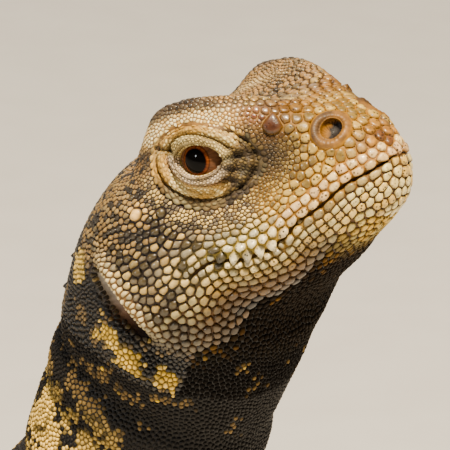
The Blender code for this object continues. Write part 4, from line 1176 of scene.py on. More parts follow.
def paint_head(site, tint):
    """Markings of head and neck, with painted shade under the jaw, on the throat and low on the cheek: the
    colours of scales and of the skin between them, and how many dark dots.

    Zones are eased steps along the head's own axes. Dark scales come where soft noise plus each
    scale's own chance passes a limit, so that they gather in patches with ragged edges.
    """
    here, chance = head_place(site), site.chance
    x, y, z = here.at
    coat = lay_cheek_and_snout(here, tint)
    lay_dark_patches(coat, here, tint)
    lay_brow(coat, here, tint)
    # Painted shade: darker towards the underside of the jaw and throat, in the lower jaw's groove colour in
    # front and grey further back.
    shadow = climb(-site.up, 0.04, 0.34) * climb(-x, 5, 8)
    coat.lay(shadow, mix(tint.jaw_groove, tint.grey, climb(-x, 22, 4)), 0.95)
    # Dark throat with ochre mottling, its near black partly painted shade under the head.
    ochre = climb(0.6 * here.wide + 0.3 * here.small + 0.2 * chance, 0.62, 0.12)
    coat.lay(here.throat, mix(tint.throat, tint.throat_light, ochre), 0.95, tint.throat * 0.4)
    beside, slit = ear_plane(x, z)
    ear_rim = bell(beside - 1.9, 0.9) * bell(slit, 5.4, 4) * climb(y, 8, 3)
    coat.lay(ear_rim, tint.brow, 0.9, tint.brow_groove, 0.7)
    behind_ear = climb(-beside, 0.2, 1.2) * climb(-x, 31, 1.5)
    neck = np.maximum(ease((site.s - 34.5 + 3 * (here.patch - 0.5)) / 3), behind_ear)
    neck_top, neck_gap = paint_neck(site, tint)
    coat.lay(neck, neck_top, 1, neck_gap)
    dots = (0.35 + 0.65 * chance) * np.maximum(climb(x, -21, 5), here.corner) * (1 - neck) * (1 - here.throat)
    # Scales vary in brightness by noise, and the lower cheek gets painted shade where the head turns under.
    shade = (0.82 + 0.36 * here.small) * (1 - 0.4 * here.low_cheek)
    return coat.top * shade[..., None], coat.gap, dots


def above_mouth(s, up):
    """Rough height over the mouth line along the skin, on the head alone."""
    wide = through(s, TRUNK, 1) * 0.95 * quarter((s - SNOUT_START) / SNOUT_ROUND)
    return np.arcsin(np.clip(up, -1, 1)) * wide


def paint_neck(site, tint):
    """The neck and shoulders: near black granules with tan flecks, and a bright band behind each ear."""
    point, chance = site.point, site.chance
    at = to_head(point)
    fleck = 0.55 * cloud(point, 2.2, 5) + 0.25 * cloud(point, 1.1, 6) + 0.3 * chance
    # Painted shade: fewer tan flecks and pale spots on the underside of the neck, where light from above
    # falls off.
    shade = 0.12 * climb(-site.up, 0.2, 0.4) * ease((70 - site.s) / 12)
    top = mix(tint.neck, tint.neck_tan, ease((fleck - 0.62 - shade) / 0.08))
    band, light = [np.minimum(sum(height * hump(at, middle, radii) for height, middle, radii in humps), 1)
                   for humps in (EAR_BAND, NECK_SPOTS)]
    yellow = climb(band + 1.1 * (fleck - 0.55) + 0.9 * (cloud(point, 0.9, 8) - 0.5), 0.5, 0.12)
    top = mix(top, mix(tint.yellow, tint.cheek_light, 0.6 * climb(chance, 0.65, 0.3)), 0.95 * yellow)
    pale = climb(light + 0.8 * (fleck - 0.5), 0.45, 0.15)
    spots = ease((fleck + 0.5 * cloud(point, 7, 7) - 0.93 - shade) / 0.07) * climb(site.s, 46, 10)
    pale = np.maximum(pale, spots)
    top = mix(top, mix(tint.yellow, tint.cheek_light, 0.6), 0.9 * pale)
    gap = mix(tint.neck * 0.4, tint.yellow * 0.35, 0.8 * np.maximum(yellow, pale))
    return top * (0.7 + 0.6 * chance)[..., None], gap


def paint_body(site, tint):
    """The back: yellow-tan spots that run together into bands on black-brown, and a pale, mottled belly."""
    point, s, up = site.point, site.s, site.up
    warp = point + 3 * (np.stack([cloud(point, 9, n) for n in (11, 12, 13)], -1) - 0.5)
    spot = 0.6 * cloud(warp, 5.5, 14) + 0.25 * cloud(warp, 2.4, 15) + 0.12 * site.chance
    band = 0.5 + 0.5 * np.cos(TURN * (s + 5 * (cloud(point, 14, 16) - 0.5)) / 15)
    light = climb(spot + 0.16 * band, 0.52, 0.07)
    top = mix(tint.body_dark, mix(tint.body_tan, tint.yellow, climb(spot, 0.55, 0.25)), 0.9 * light)
    belly = ease((-up - 0.35 + 0.3 * (spot - 0.5)) / 0.25)
    top = mix(top, mix(tint.belly, tint.body_dark, 0.6 * ease((0.42 - spot) / 0.1)), 0.85 * belly)
    gap = mix(tint.body_dark * 0.4, tint.belly * 0.4, belly)
    neck_top, neck_gap = paint_neck(site, tint)
    early = ease((80 - s) / 14)
    rump = climb(s, 168, 16)
    top = mix(top, mix(tint.tail, tint.body_dark, ease((0.5 - spot) / 0.15)), rump)
    return mix(top, neck_top, early), mix(gap, neck_gap, early), 0 * s


def paint_leg(site, tint):
    """The legs: dark, with tan flecks that thin out towards the toes, and paler soles."""
    point = site.point
    fleck = 0.6 * cloud(point, 3.6, 21) + 0.25 * cloud(point, 1.5, 22) + 0.2 * site.chance
    top = mix(tint.body_dark, tint.body_tan, 0.85 * climb(fleck, 0.6, 0.08))
    top = mix(top, tint.belly * 0.7, 0.6 * ease((1.2 - point[..., 2]) / 1))
    return top * (0.8 + 0.4 * cloud(point, 1.1, 23)[..., None]), tint.body_dark * 0.4 + 0 * top, 0 * fleck


def paint_lids(site, tint):
    """The lids: cream above, grey below, golden folds, painted shade in the creases and behind the eye, and
    dark skin before the eye.
    """
    a, b, inner, outer, chance = site.along, site.across, site.inner, site.outer, site.chance
    tone = climb(cloud(site.point, 1.6, 31) + 0.4 * chance, 0.5, 0.4)
    upper = mix(tint.lid, tint.lid_dull, 0.7 * tone)
    lower = mix(tint.lid_grey, tint.lid_dull, 0.5 * tone)
    above = climb(b, -0.6, 0.8)
    coat = Coat(mix(lower, upper, climb(b, -0.3, 0.6)), tint.lid_groove)
    coat.lay(climb(inner, 0.97, 0.08), mix(tint.lid_gold, tint.lid, tone), 1, tint.lid_gold * 0.6)
    # Painted shade in the crease over the upper lid, and mixed with the orange in the outer crease; the
    # orange creases are the skin's own colour.
    coat.lay(bell(inner - 1, 0.06) * above, tint.crease, 0.95)
    coat.lay(bell(inner - 0.98, 0.07) * (1 - above), tint.lid_orange, 0.85)
    coat.lay(bell(inner - 1.2, 0.05) * above, tint.lid_orange, 0.7)
    coat.lay(bell(outer - 1, 0.05), mix(tint.crease, tint.lid_orange, 0.4), 0.8)
    streak = 0.5 + 0.5 * lid_fan(a, b, site.point)[1]
    coat.lay(ease((a - 2.3 - 0.35 * np.maximum(b, 0)) / 1.2),
             mix(tint.dark, tint.lid_dull, 0.55 * streak * chance), 0.95, tint.crease * 0.4, 0.95)
    # Dark in the crease behind the eye: the skin's own dark and painted shade.
    coat.lay(bell(b - 0.5, 0.5) * climb(-a, 2.5, 0.8), tint.dark, 0.9)
    coat.lay(climb(outer, 0.96, 0.08) * climb(-b, 2, 1.5),
             mix(tint.grey, tint.dark, 0.65 + 0.3 * chance), 0.8, tint.crease, 0.8)
    return coat.top * (0.85 + 0.3 * chance[..., None]), coat.gap


# Materials.

def add_node(tree, kind, links=None, **settings):
    """Adds a node of any kind, with its settings by name, and its inputs as connect takes them."""
    made = tree.nodes.new(kind)
    for name, value in settings.items():
        setattr(made, name, value)
    connect(tree, made, links or {})
    return made


def connect(tree, node, links):
    """Sets a node's inputs by name to values, or links them to sockets or to nodes' first outputs."""
    for socket, value in links.items():
        value = value.outputs[0] if isinstance(value, bpy.types.Node) else value
        if isinstance(value, bpy.types.NodeSocket):
            tree.links.new(value, node.inputs[socket])
        else:
            node.inputs[socket].default_value = value


def new_material(name):
    """A node material: its tree, its Principled BSDF and the place on the object."""
    material = bpy.data.materials.new(name)
    material.use_nodes = True
    tree = material.node_tree
    place_on_it = add_node(tree, "ShaderNodeTexCoord").outputs["Object"]
    return material, tree, tree.nodes["Principled BSDF"], place_on_it


def mottled(tree, colour, drift, low, high):
    """A colour times a number that noise takes from low to high."""
    shade = add_node(tree, "ShaderNodeMapRange", {"Value": drift, "From Min": 0.3,
                                                  "From Max": 0.7, "To Min": low, "To Max": high})
    return add_node(tree, "ShaderNodeVectorMath", {0: colour, "Scale": shade}, operation="SCALE")


def set_stops(ramp, stops):
    """Gives a colour ramp its stops of position and colour, and returns the ramp."""
    elements = ramp.color_ramp.elements
    while len(elements) < len(stops):
        elements.new(0.5)
    for element, (position, colour) in zip(elements, stops):
        element.position = position
        element.color = (*[float(v) for v in colour], 1)
    return ramp


def scale_keratin(name, grain, roughness, bump, coat=0, bend=1.5):
    """Beta keratin over living skin, grown as polished plates: a satin sheen that shows each scale's
    dome, dull edges, colour that drifts inside a scale, and dark sense pits on the snout."""
    material, tree, surface, spot = new_material(name)
    colour, dots, edge = [add_node(tree, "ShaderNodeAttribute", attribute_name=layer).outputs[output]
                          for layer, output in (("Colour", "Color"), ("Dots", "Fac"), ("Edge", "Fac"))]
    # Mottling inside a scale, two or three patches across it.
    drift = add_node(tree, "ShaderNodeTexNoise", {"Vector": spot, "Scale": 1000 / grain, "Detail": 3,
                                                  "Roughness": 0.6})
    colour = mottled(tree, colour, drift, 0.62, 1.25)
    # Sense pits: dark points about a tenth of a millimetre across.
    pits = add_node(tree, "ShaderNodeTexVoronoi", {"Vector": spot, "Scale": 1000 / PIT_SPACING,
                                                   "Randomness": 0.9})
    pit = add_node(tree, "ShaderNodeMapRange", {"Value": pits, "From Min": 0.24,
                                                "From Max": 0.33, "To Min": 1, "To Max": 0},
                   interpolation_type="SMOOTHSTEP")
    some = add_node(tree, "ShaderNodeMath", {0: pit, 1: dots}, operation="MULTIPLY")
    keep = add_node(tree, "ShaderNodeMapRange", {"Value": some, "To Min": 1, "To Max": 0.05})
    darker = add_node(tree, "ShaderNodeVectorMath", {0: colour, "Scale": keep}, operation="SCALE")
    # Satin tops, dull rims, and fine wear that breaks the shine.
    wear = add_node(tree, "ShaderNodeTexNoise", {"Vector": spot, "Scale": 1000 / 0.25, "Detail": 2})
    rough = add_node(tree, "ShaderNodeMath", {0: edge, 1: 0.22, 2: roughness}, operation="MULTIPLY_ADD")
    rough = add_node(tree, "ShaderNodeMath", {0: wear, 1: 0.22, 2: rough}, operation="MULTIPLY_ADD")
    # Shallow wrinkles of a fifth of a millimetre, and the pits.
    wrinkles = add_node(tree, "ShaderNodeTexNoise", {"Vector": spot, "Scale": 1000 / 0.2, "Detail": 4,
                                                     "Roughness": 0.65})
    height = add_node(tree, "ShaderNodeMath", {0: some, 1: -0.6, 2: wrinkles}, operation="MULTIPLY_ADD")
    bumped = add_node(tree, "ShaderNodeBump", {"Strength": bump, "Distance": 0.00006,
                                               "Height": height})
    connect(tree, surface, {"Base Color": darker, "Roughness": rough,
                            "Normal": bumped, "IOR": bend, "Coat Weight": coat,
                            "Coat Roughness": 0.12})
    return material


def soft_skin():
    """Living skin between scales, folded and dry: matt, its colour from the markings, with fine creases."""
    material, tree, surface, spot = new_material("soft_skin_between_scales")
    colour = add_node(tree, "ShaderNodeAttribute", attribute_name="Colour")
    drift = add_node(tree, "ShaderNodeTexNoise", {"Vector": spot, "Scale": 1000 / 0.6, "Detail": 4})
    creases = add_node(tree, "ShaderNodeTexVoronoi", {"Vector": spot, "Scale": 1000 / 0.3},
                       feature="DISTANCE_TO_EDGE")
    bumped = add_node(tree, "ShaderNodeBump", {"Strength": 0.5, "Distance": 0.00008,
                                               "Height": creases})
    connect(tree, surface, {"Base Color": mottled(tree, colour, drift, 0.7, 1.25),
                            "Normal": bumped, "Roughness": 0.62})
    return material


def moist_lining():
    """Moist skin inside the nostril: wet mucous membrane, orange where light passes, and painted shade that
    makes it dark deep down.
    """
    material, tree, surface, spot = new_material("moist_nostril_lining")
    colour = add_node(tree, "ShaderNodeAttribute", attribute_name="Colour")
    drift = add_node(tree, "ShaderNodeTexNoise", {"Vector": spot, "Scale": 1000 / 0.5, "Detail": 3})
    bumped = add_node(tree, "ShaderNodeBump", {"Strength": 0.25, "Distance": 0.00008,
                                               "Height": drift})
    connect(tree, surface, {"Base Color": mottled(tree, colour, drift, 0.75, 1.2),
                            "Normal": bumped, "Roughness": 0.6, "Coat Weight": 0.1,
                            "Coat Roughness": 0.2})
    return material


def wet_eye(tint):
    """The eyeball: wet cornea over a round black pupil, a thin ring of orange-brown iris with radial
    streaks, and dark brown white of the eye. The coat gives the sharp wet highlight."""
    material, tree, surface, spot = new_material("wet_cornea_over_iris")
    gaze = add_node(tree, "ShaderNodeUVMap", uv_map="Gaze")
    parts = add_node(tree, "ShaderNodeSeparateXYZ", {"Vector": gaze})
    along = add_node(tree, "ShaderNodeVectorMath", {0: gaze, 1: (60, 3, 1)}, operation="MULTIPLY")
    streak = add_node(tree, "ShaderNodeTexNoise", {"Vector": along, "Scale": 1,
                                                   "Detail": 3})
    ramp = add_node(tree, "ShaderNodeValToRGB", {"Fac": parts.outputs["Y"]})
    colour = set_stops(ramp, ((0, PUPIL_BLACK), (0.385, PUPIL_BLACK), (0.405, tint.iris_inner),
                              (0.455, tint.iris), (0.50, tint.iris * 0.35), (0.54, tint.eye_white),
                              (1, tint.eye_white)))
    film = add_node(tree, "ShaderNodeTexNoise", {"Vector": spot, "Scale": 1000 / 1.5, "Detail": 1})
    rough = add_node(tree, "ShaderNodeMapRange", {"Value": film, "To Min": 0.12,
                                                  "To Max": 0.22})
    connect(tree, surface, {"Base Color": mottled(tree, colour, streak, 0.6, 1.5),
                            "Roughness": rough, "IOR": 1.376, "Specular IOR Level": 0,
                            "Coat IOR": 1.376, "Coat Weight": 0.3, "Coat Roughness": 0.02})
    return material


def claw_horn(tint):
    """Claw horn: solid keratin worn smooth, brown-black with paler, streaked roots."""
    material, tree, surface, spot = new_material("claw_horn")
    edge = add_node(tree, "ShaderNodeAttribute", attribute_name="Edge").outputs["Fac"]
    streak = add_node(tree, "ShaderNodeTexNoise", {"Vector": spot, "Scale": 1000 / 0.7, "Detail": 4})
    level = add_node(tree, "ShaderNodeMath", {0: streak, 1: 0.4, 2: edge}, operation="MULTIPLY_ADD")
    ramp = add_node(tree, "ShaderNodeValToRGB", {"Fac": level})
    bumped = add_node(tree, "ShaderNodeBump", {"Strength": 0.3, "Distance": 0.00005,
                                               "Height": streak})
    connect(tree, surface, {"Base Color": set_stops(ramp, ((0.1, tint.claw_root), (0.9, tint.claw))),
                            "Normal": bumped, "Roughness": 0.32})
    return material


def matt_paper():
    """Matt seamless paper: nearly white, with a faint fibre mottle and no shine."""
    material, tree, surface, spot = new_material("matt_backdrop_paper")
    fibre = add_node(tree, "ShaderNodeTexNoise", {"Vector": spot, "Scale": 90, "Detail": 4})
    ramp = add_node(tree, "ShaderNodeValToRGB", {"Fac": fibre})
    connect(tree, surface, {"Base Color": set_stops(ramp, ((0, linear("#CFCCC6")), (1, linear("#DAD8D3")))),
                            "Roughness": 0.9})
    return material


# Work shared by the operators.

WORK = {}


def head_rows():
    """Distances back from the snout of the head's rows of skin, closest together at its tip."""
    near = SNOUT_START + 0.02 * np.arange(11) ** 2
    return np.concatenate([near, np.linspace(3.05, 41, 158), np.linspace(41.3, NECK_BACK, 46)])


def body_rows():
    """Distances back of the rows of skin on torso and tail, down to the tip."""
    last = TAIL_END - 0.02 * np.arange(12)[::-1] ** 2
    return np.concatenate([np.linspace(NECK_BACK, 172, 118), np.linspace(172.7, 309, 190), last])


def all_sheets():
    """Every sheet of skin, worked out once."""
    if "head" in WORK:
        return WORK
    WORK["head"] = trunk_sheet(head_rows(), HEAD_COLUMNS)
    WORK["body"] = trunk_sheet(body_rows(), BODY_COLUMNS)
    for side, end in SIDES:
        WORK["lids_" + end] = lid_sheet(side)
        WORK["nostril_" + end] = nostril_sheet(side)
        for name, plan, station in (("foreleg_", FORELEG, SHOULDER), ("hindleg_", HINDLEG, HIP)):
            limb, base = limb_sheet(plan, station, side, WORK["body"])
            toes, claws = toe_sheets(plan, base, side)
            WORK[name + end] = limb
            WORK[name + end + "_toes"] = toes
            WORK[name + end + "_claws"] = claws
    return WORK


def roots_at(sheet, s, t, size, stretch):
    """Roots of one size at chosen places on a sheet of trunk."""
    row = np.interp(s, sheet.s[:, 0], np.arange(len(sheet.s)))
    turns = np.append(sheet.t[0], TURN)
    column = np.interp(np.mod(t, TURN), turns, np.arange(len(turns)))
    ones = np.ones(sheet.s.shape)
    return read_roots(sheet, row, column, ones * size, np.ones(len(row)), ones * stretch)


def rim_sites(sheet):
    """Empty sites round a nostril's rim, which hold the scales beside it off."""
    column = np.arange(0, NOSTRIL_COLUMNS, 8)
    ones = np.ones(sheet.s.shape)
    return read_roots(sheet, NOSTRIL_ROWS - 0.5 + 0 * column, column, 0.6 * ones, np.ones(len(column)), ones)


def head_sizes(sheet, sizes, placed):
    """Wanted scale sizes on the head and neck: largest on the snout and lips, granular on the neck.

    Each zone takes the sizes there from what they were to its own.
    """
    x, y, z = at = to_head(sheet.points)
    s = sheet.s
    beside, slit = ear_plane(x, z)
    behind = climb(-beside, 0.3, 1) * climb(-x, 30.5, 1)
    ring = orbit(*eye_plane(x, z))
    size = np.full(s.shape, sizes.cheek / MM)
    for wanted, zone in (
            (0.8, hump(at, (-14, 11, 0.5), (5, 6, 1.6))),
            (0.78, climb(-x, 23.5, 3) * climb(z, -1, 2.5)),
            (sizes.snout / MM, climb(x, -13.5, 3) * climb(z, -1, 3)),
            (1.7, climb(x, -3.6, 1.6) * climb(z, 1, 1.5)),
            (1.05, hump(at, (-5, 5.5, 2.2), (2.4, 3, 1.8))),
            (sizes.crown / MM, climb(z, 4, 3) * climb(-x, 12, 5)),
            (0.74, climb(-sheet.up, 0.45, 0.35) * climb(-x, 4, 10)),
            (sizes.neck / MM, np.maximum(climb(s, 33.5, 3.5), behind)),
            (0.6 + 0.2 * bell(z - through(-x, BROW_BAND), 1.3, 4),
             bell(z - 10.6 - 0.16 * (x + 17), 2.4, 4) * climb(y, 5, 2) * climb(-x, 9.5, 2)),
            (0.5, bell(beside - 1.4, 1.5) * bell(slit, 6.6, 4) * climb(y, 8, 3)),
            (0.44, ease((1.6 - ring) / 0.35) * climb(y, 4, 2)),
            (0.45, hump(at, (-11, 8.4, 4.6), (2.2, 5, 3)))):
        size = size + (wanted - size) * zone
    empty = ((ring < 1.02) & (y > 5)) | ((ear_cup(x, z) < 1) & (y > 8)) | (from_nostril(at) < 2.5)
    size = np.where(empty | (s < 0.9), 0, size)
    front = int(np.searchsorted(s[:, 0], 26))
    who, far = neighbours(sheet.points[:front].reshape(-1, 3), placed.point, 2, 1)
    taken = far[:, 0] < 0.42 * (placed.size[who[:, 0]] + 0.7)
    size[:front] = np.where(taken.reshape(front, -1), 0, size[:front])
    return size


def row_by_mouth(sheet, away, spacing, first, last, offset, stretch):
    """Roots along the mouth line on both sides, all the same distance above it, or below where away is less
    than 0. The distance is summed round the trunk's plain section."""
    groups = []
    apart = np.linspace(0, 1.2, 100)
    for middle, turn in ((0, 1), (math.pi, -1)):
        s = np.linspace(first, last, 160)
        turns = middle + turn * np.sign(away) * apart
        around = place(s[:, None], *section(s[:, None] + 0 * turns, turns + 0 * s[:, None]))
        length = np.cumsum(np.linalg.norm(np.diff(around, axis=1), axis=-1), axis=1)
        k = np.clip((length < abs(away)).sum(1), 1, 98)
        before, after = length[np.arange(160), k - 1], length[np.arange(160), k]
        share = k + (abs(away) - before) / (after - before)
        line_t = middle + turn * np.sign(away) * np.clip(share, 0, 99) * apart[1]
        line = trunk(s, line_t)
        line = line if abs(away) > 0.6 else trunk(s, middle)
        run = np.concatenate([[0], np.cumsum(np.linalg.norm(np.diff(line, axis=0), axis=1))])
        at = np.arange(offset * spacing, run[-1], spacing)
        s, t = np.interp(at, run, s), np.interp(at, run, line_t)
        groups.append(roots_at(sheet, s, t, spacing, stretch))
    return join_roots(groups)


def lid_roots(lid, draw):
    """Roots on the lids: finer near the eye, and drawn out along the wrinkles before it."""
    wanted = 0.36 + 0.26 * climb(orbit(lid.along, lid.across), 0.5, 0.5)
    ahead = climb(lid.along, 2.6, 1.2) * ease((2.6 - np.abs(lid.across)) / 1)
    return plant(lid, wanted, draw, low=5, stretch=0.6 + 1.1 * ahead)


def lip_roots(head, lip):
    """Rows of lip scales beside the mouth line, and three rows of long ones on the chin."""
    # Distance over the mouth line, spacing, first and last place along it, offset and stretch.
    rows = [(0.55, lip * 1.15, 1.2, 12, 0.3, 1.3), (-0.5, lip * 1.15, 1.2, 12, 0.3, 1.3),
            (1.5, lip, 1.4, 16.5, 0.8, 1.1), (0.5, lip * 1.1, 12.6, 18.4, 0.4, 1),
            (0.5, 0.85, 18.9, 23, 0.4, 1.2), (-0.45, 1.05, 12.6, 22.4, 0.5, 1.4)]
    rows += [(-1.35 - 0.84 * k, 1.1, 1.5 + 0.3 * k, 21.6 - 0.9 * k, 0.3 + 0.5 * (k % 2), 1.4)
             for k in range(3)]
    return join_roots([row_by_mouth(head, *row) for row in rows])


def limb_roots(name, sheets, size, body_roots, draw):
    """Roots on a limb and on its toes, each without those that the other covers."""
    limb, toes = sheets[name], sheets[name + "_toes"]
    wanted = np.full(limb.blend.shape, size * 1.05)
    wanted = wanted * (1 - 0.2 * climb(limb.distance, 40, 10))
    on_limb = plant(limb, wanted, draw, body_roots, rounds=6)
    for toe in toes:
        on_limb = pick_roots(on_limb, not_inside(on_limb, toe, -0.15, 2, 3))
    on_toes = []
    for toe in toes:
        one = plant(toe, np.full(toe.blend.shape, 0.85), draw, rounds=5, high=len(toe.points) - 3)
        on_toes.append(pick_roots(one, not_inside(one, limb, -0.1, 3, 5)))
    return on_limb, join_roots(on_toes)


def all_roots(context):
    """Roots of every scale, planted once: lids first, then lips, head, neck, body, limbs and toes."""
    if "roots" in WORK:
        return WORK["roots"]
    sheets = all_sheets()
    sizes = context.scene.lizard_scales
    draw = np.random.default_rng(sizes.seed)
    head, body = sheets["head"], sheets["body"]
    roots = {"lids_" + end: lid_roots(sheets["lids_" + end], draw) for _, end in SIDES}
    roots["lips"] = lip_roots(head, sizes.lip / MM)
    roots["bare"] = join_roots([row_by_mouth(head, 0.001, 0.42, 1.2, MOUTH_CORNER, 0.5, 1)]
                               + [rim_sites(sheets["nostril_" + end]) for _, end in SIDES])
    roots["large"] = join_roots([roots_at(head, np.array([s, s]), np.array([t, math.pi - t]), size, 1)
                                 for s, t, size in LARGE_SCALES])
    fixed = join_roots([roots[name] for name in ("lids_left", "lids_right", "lips", "large", "bare")])
    wanted = head_sizes(head, sizes, join_roots([roots["lips"], roots["large"]]))
    split = int(np.searchsorted(head.s[:, 0], 41))
    x, _, z = to_head(head.points)
    long = 1 + 0.5 * ease((2 - z) / 3) * climb(x, -24, 4) * climb(-x, 4, 4)
    long = long + 0.3 * climb(-x, 18, 4) * climb(z, -9, 4)
    roots["head"] = plant(head, wanted, draw, fixed, high=split, rounds=12, stretch=long)
    roots["neck"] = plant(head, wanted, draw, join_roots([fixed, roots["head"]]), low=split)
    s, neck_size, body_size = body.s, sizes.neck / MM, sizes.body / MM
    wanted = neck_size + (body_size - neck_size) * climb(s, 58, 26)
    wanted = wanted * (1 + 0.15 * climb(-body.up, 0.3, 0.4)) * (1 + 0.25 * climb(s, 165, 20))
    wanted = np.where(s > FIRST_RING + 0.2, 0, wanted)
    on_body = plant(body, wanted, draw, roots["neck"], rounds=7)
    for name in LIMBS:
        on_body = pick_roots(on_body, not_inside(on_body, sheets[name], 0.05))
    roots["body"] = on_body
    for name in LIMBS:
        roots[name], roots[name + "_toes"] = limb_roots(name, sheets, body_size, on_body, draw)
    for group in roots.values():
        group.chance = draw.random(len(group.size))
    WORK["roots"] = roots
    return roots


# The shapes of the head's scales and of the tail's whorls.

def head_scale_shape(group):
    """The head's scales: domes, flat on the snout, pebbly low on the cheek, pointed by the mouth's corner."""
    x, _, z = at = to_head(group.point)
    size = group.size
    spiky = hump(at, (-15, 11.2, -3.9), (2.6, 6, 1.1))
    spiky = np.maximum(spiky, 0.3 * ((size > 0.9) & (group.s > 35)))
    crown = climb(z, 5, 3) * climb(-x, 10, 5)
    snout = climb(x, -14, 4)
    height = size * (0.27 - 0.05 * snout) * (1 + 2.1 * spiky) * (1 - 0.25 * crown)
    pebble = climb(-x, 17, 6) * climb(group.up, -0.75, 0.3) * ease((6 - z) / 3)
    height = height * (0.85 + 0.3 * group.chance) * (1 + 0.3 * pebble)
    flat = np.maximum(snout, climb(-group.up, 0.02, 0.1)) * (1 - spiky)
    peak = np.clip(0.05 + 0.9 * spiky + 0.2 * climb(-x, 22, 5) - 0.6 * flat, -0.6, 1)
    drop = np.sign(np.cross(group.normal, group.run)[:, 2]) * -0.55 * spiky * size
    lean = np.stack([size * (0.04 + 0.14 * climb(-x, 14, 6)), drop], -1)
    return height, peak, lean, 0.03 + (0.035 - 0.02 * flat + 0.05 * pebble) * size


def whorl_tiles(chosen):
    """The tail's tiles: turn about the tail, front, back, half the angle they cover and share along it."""
    edges = FIRST_RING + (LAST_RING - FIRST_RING) * np.linspace(0, 1, RINGS + 1) ** 0.96
    rows = []
    for k in range(RINGS):
        far = (edges[k + 1] - FIRST_RING) / (LAST_RING - FIRST_RING)
        wide, high = through(edges[k + 1], TRUNK, 1), through(edges[k + 1], TRUNK, 2)
        pitch = (chosen.width_first + (chosen.width_last - chosen.width_first) * far) / MM
        count = int(round(math.pi * (wide + high) / pitch))
        turns = (np.arange(count) + 0.5 * (k % 2)) * TURN / count
        same = [np.full(count, value) for value in (edges[k], edges[k + 1], math.pi / count, far)]
        rows.append([turns, *same])
    return [np.concatenate(part) for part in zip(*rows)]


def carried_on(field, last):
    """A tile's values carried on along its spine."""
    return np.concatenate([field, np.repeat(last, len(SPINE_STEPS), 1)], 1)


def whorl_points(turn, front, back, half, length, draw):
    """Keeled tiles lifted towards their back, each with a spine beyond it, as tubes of ten columns.

    A tile's middle and its two edges lie on the trunk, the spine goes on from its back, turned up by
    its own angle and bent, and the tube is as wide as the edges are apart.
    """
    s = front[:, None] + 0.15 + TILE_STEPS * (back - front - 0.15)[:, None]
    lift = 0.45 * TILE_STEPS**1.2
    middle, one, two = [trunk(s, (turn + way * half)[:, None], lift - 0.25) for way in (0, -1, 1)]
    wide = np.linalg.norm(two - one, axis=-1) / 2 * 0.94
    across = unit(two - one)
    way = unit(middle[:, -1] - middle[:, -3])
    rise = unit(np.cross(unit(middle[:, -1] - middle[:, 0])[:, None], across))
    topside, sideways = climb(np.sin(turn), -0.55, 0.35), np.abs(np.cos(turn))
    length = length * (0.75 + 0.35 * sideways) * draw.uniform(0.85, 1.12, len(turn)) * (0.12 + 0.88 * topside)
    angle = np.radians(18 + 9 * sideways + draw.uniform(-4, 4, len(turn))) * topside
    spike_way = way * np.cos(angle)[:, None] + rise[:, -1] * np.sin(angle)[:, None]
    bend = rise[:, -1][:, None] * (0.08 * SPINE_STEPS**2)[None, :, None] * length[:, None, None]
    spike = middle[:, -1][:, None] + spike_way[:, None] * (SPINE_STEPS * length[:, None])[..., None] + bend
    path = np.concatenate([middle, spike], 1)
    wide = carried_on(wide, wide[:, -1:])
    tall = wide[:, -1:] * TILE_HEIGHT * (0.55 + 0.45 * topside)[:, None]
    wide = wide * TILE_WIDTH
    rise = carried_on(rise, unit(np.cross(spike_way, across[:, -1]))[:, None])
    across = carried_on(across, across[:, -1:])
    cos, sin = np.cos(angles(TILE_COLUMNS)), np.sin(angles(TILE_COLUMNS))
    keel = np.where(sin > 0, np.abs(sin) ** 1.5, 0.45 * sin)
    points = (path[:, :, None] + across[:, :, None] * (wide[:, :, None] * -cos)[..., None]
              + rise[:, :, None] * (tall[:, :, None] * keel)[..., None])
    return rest_on_floor(points, 0.04), middle[:, 2]


def whorl_colours(spot, turn, chance, along, tint):
    """Tiles in tan and black-brown by noise, paler below, darker in front, with dark horn at the tips."""
    noise = cloud(spot, 6, 41)
    colour = mix(tint.tail, tint.body_dark, climb(noise + 0.3 * chance, 0.62, 0.2))
    colour = mix(colour, tint.body_tan, 0.6 * ease((0.42 - noise) / 0.12))
    colour = mix(colour, tint.belly * 0.6, 0.7 * (1 - climb(np.sin(turn), -0.55, 0.35)))
    shade = colour[:, None] * (0.75 + 0.5 * ease(along / 0.3))[None, :, None]
    shade = shade + (tint.spine - shade) * (0.85 * climb(along, 0.5, 0.5))[None, :, None]
    return np.repeat(shade[:, :, None], TILE_COLUMNS, 2).reshape(-1, 3)


# Settings.

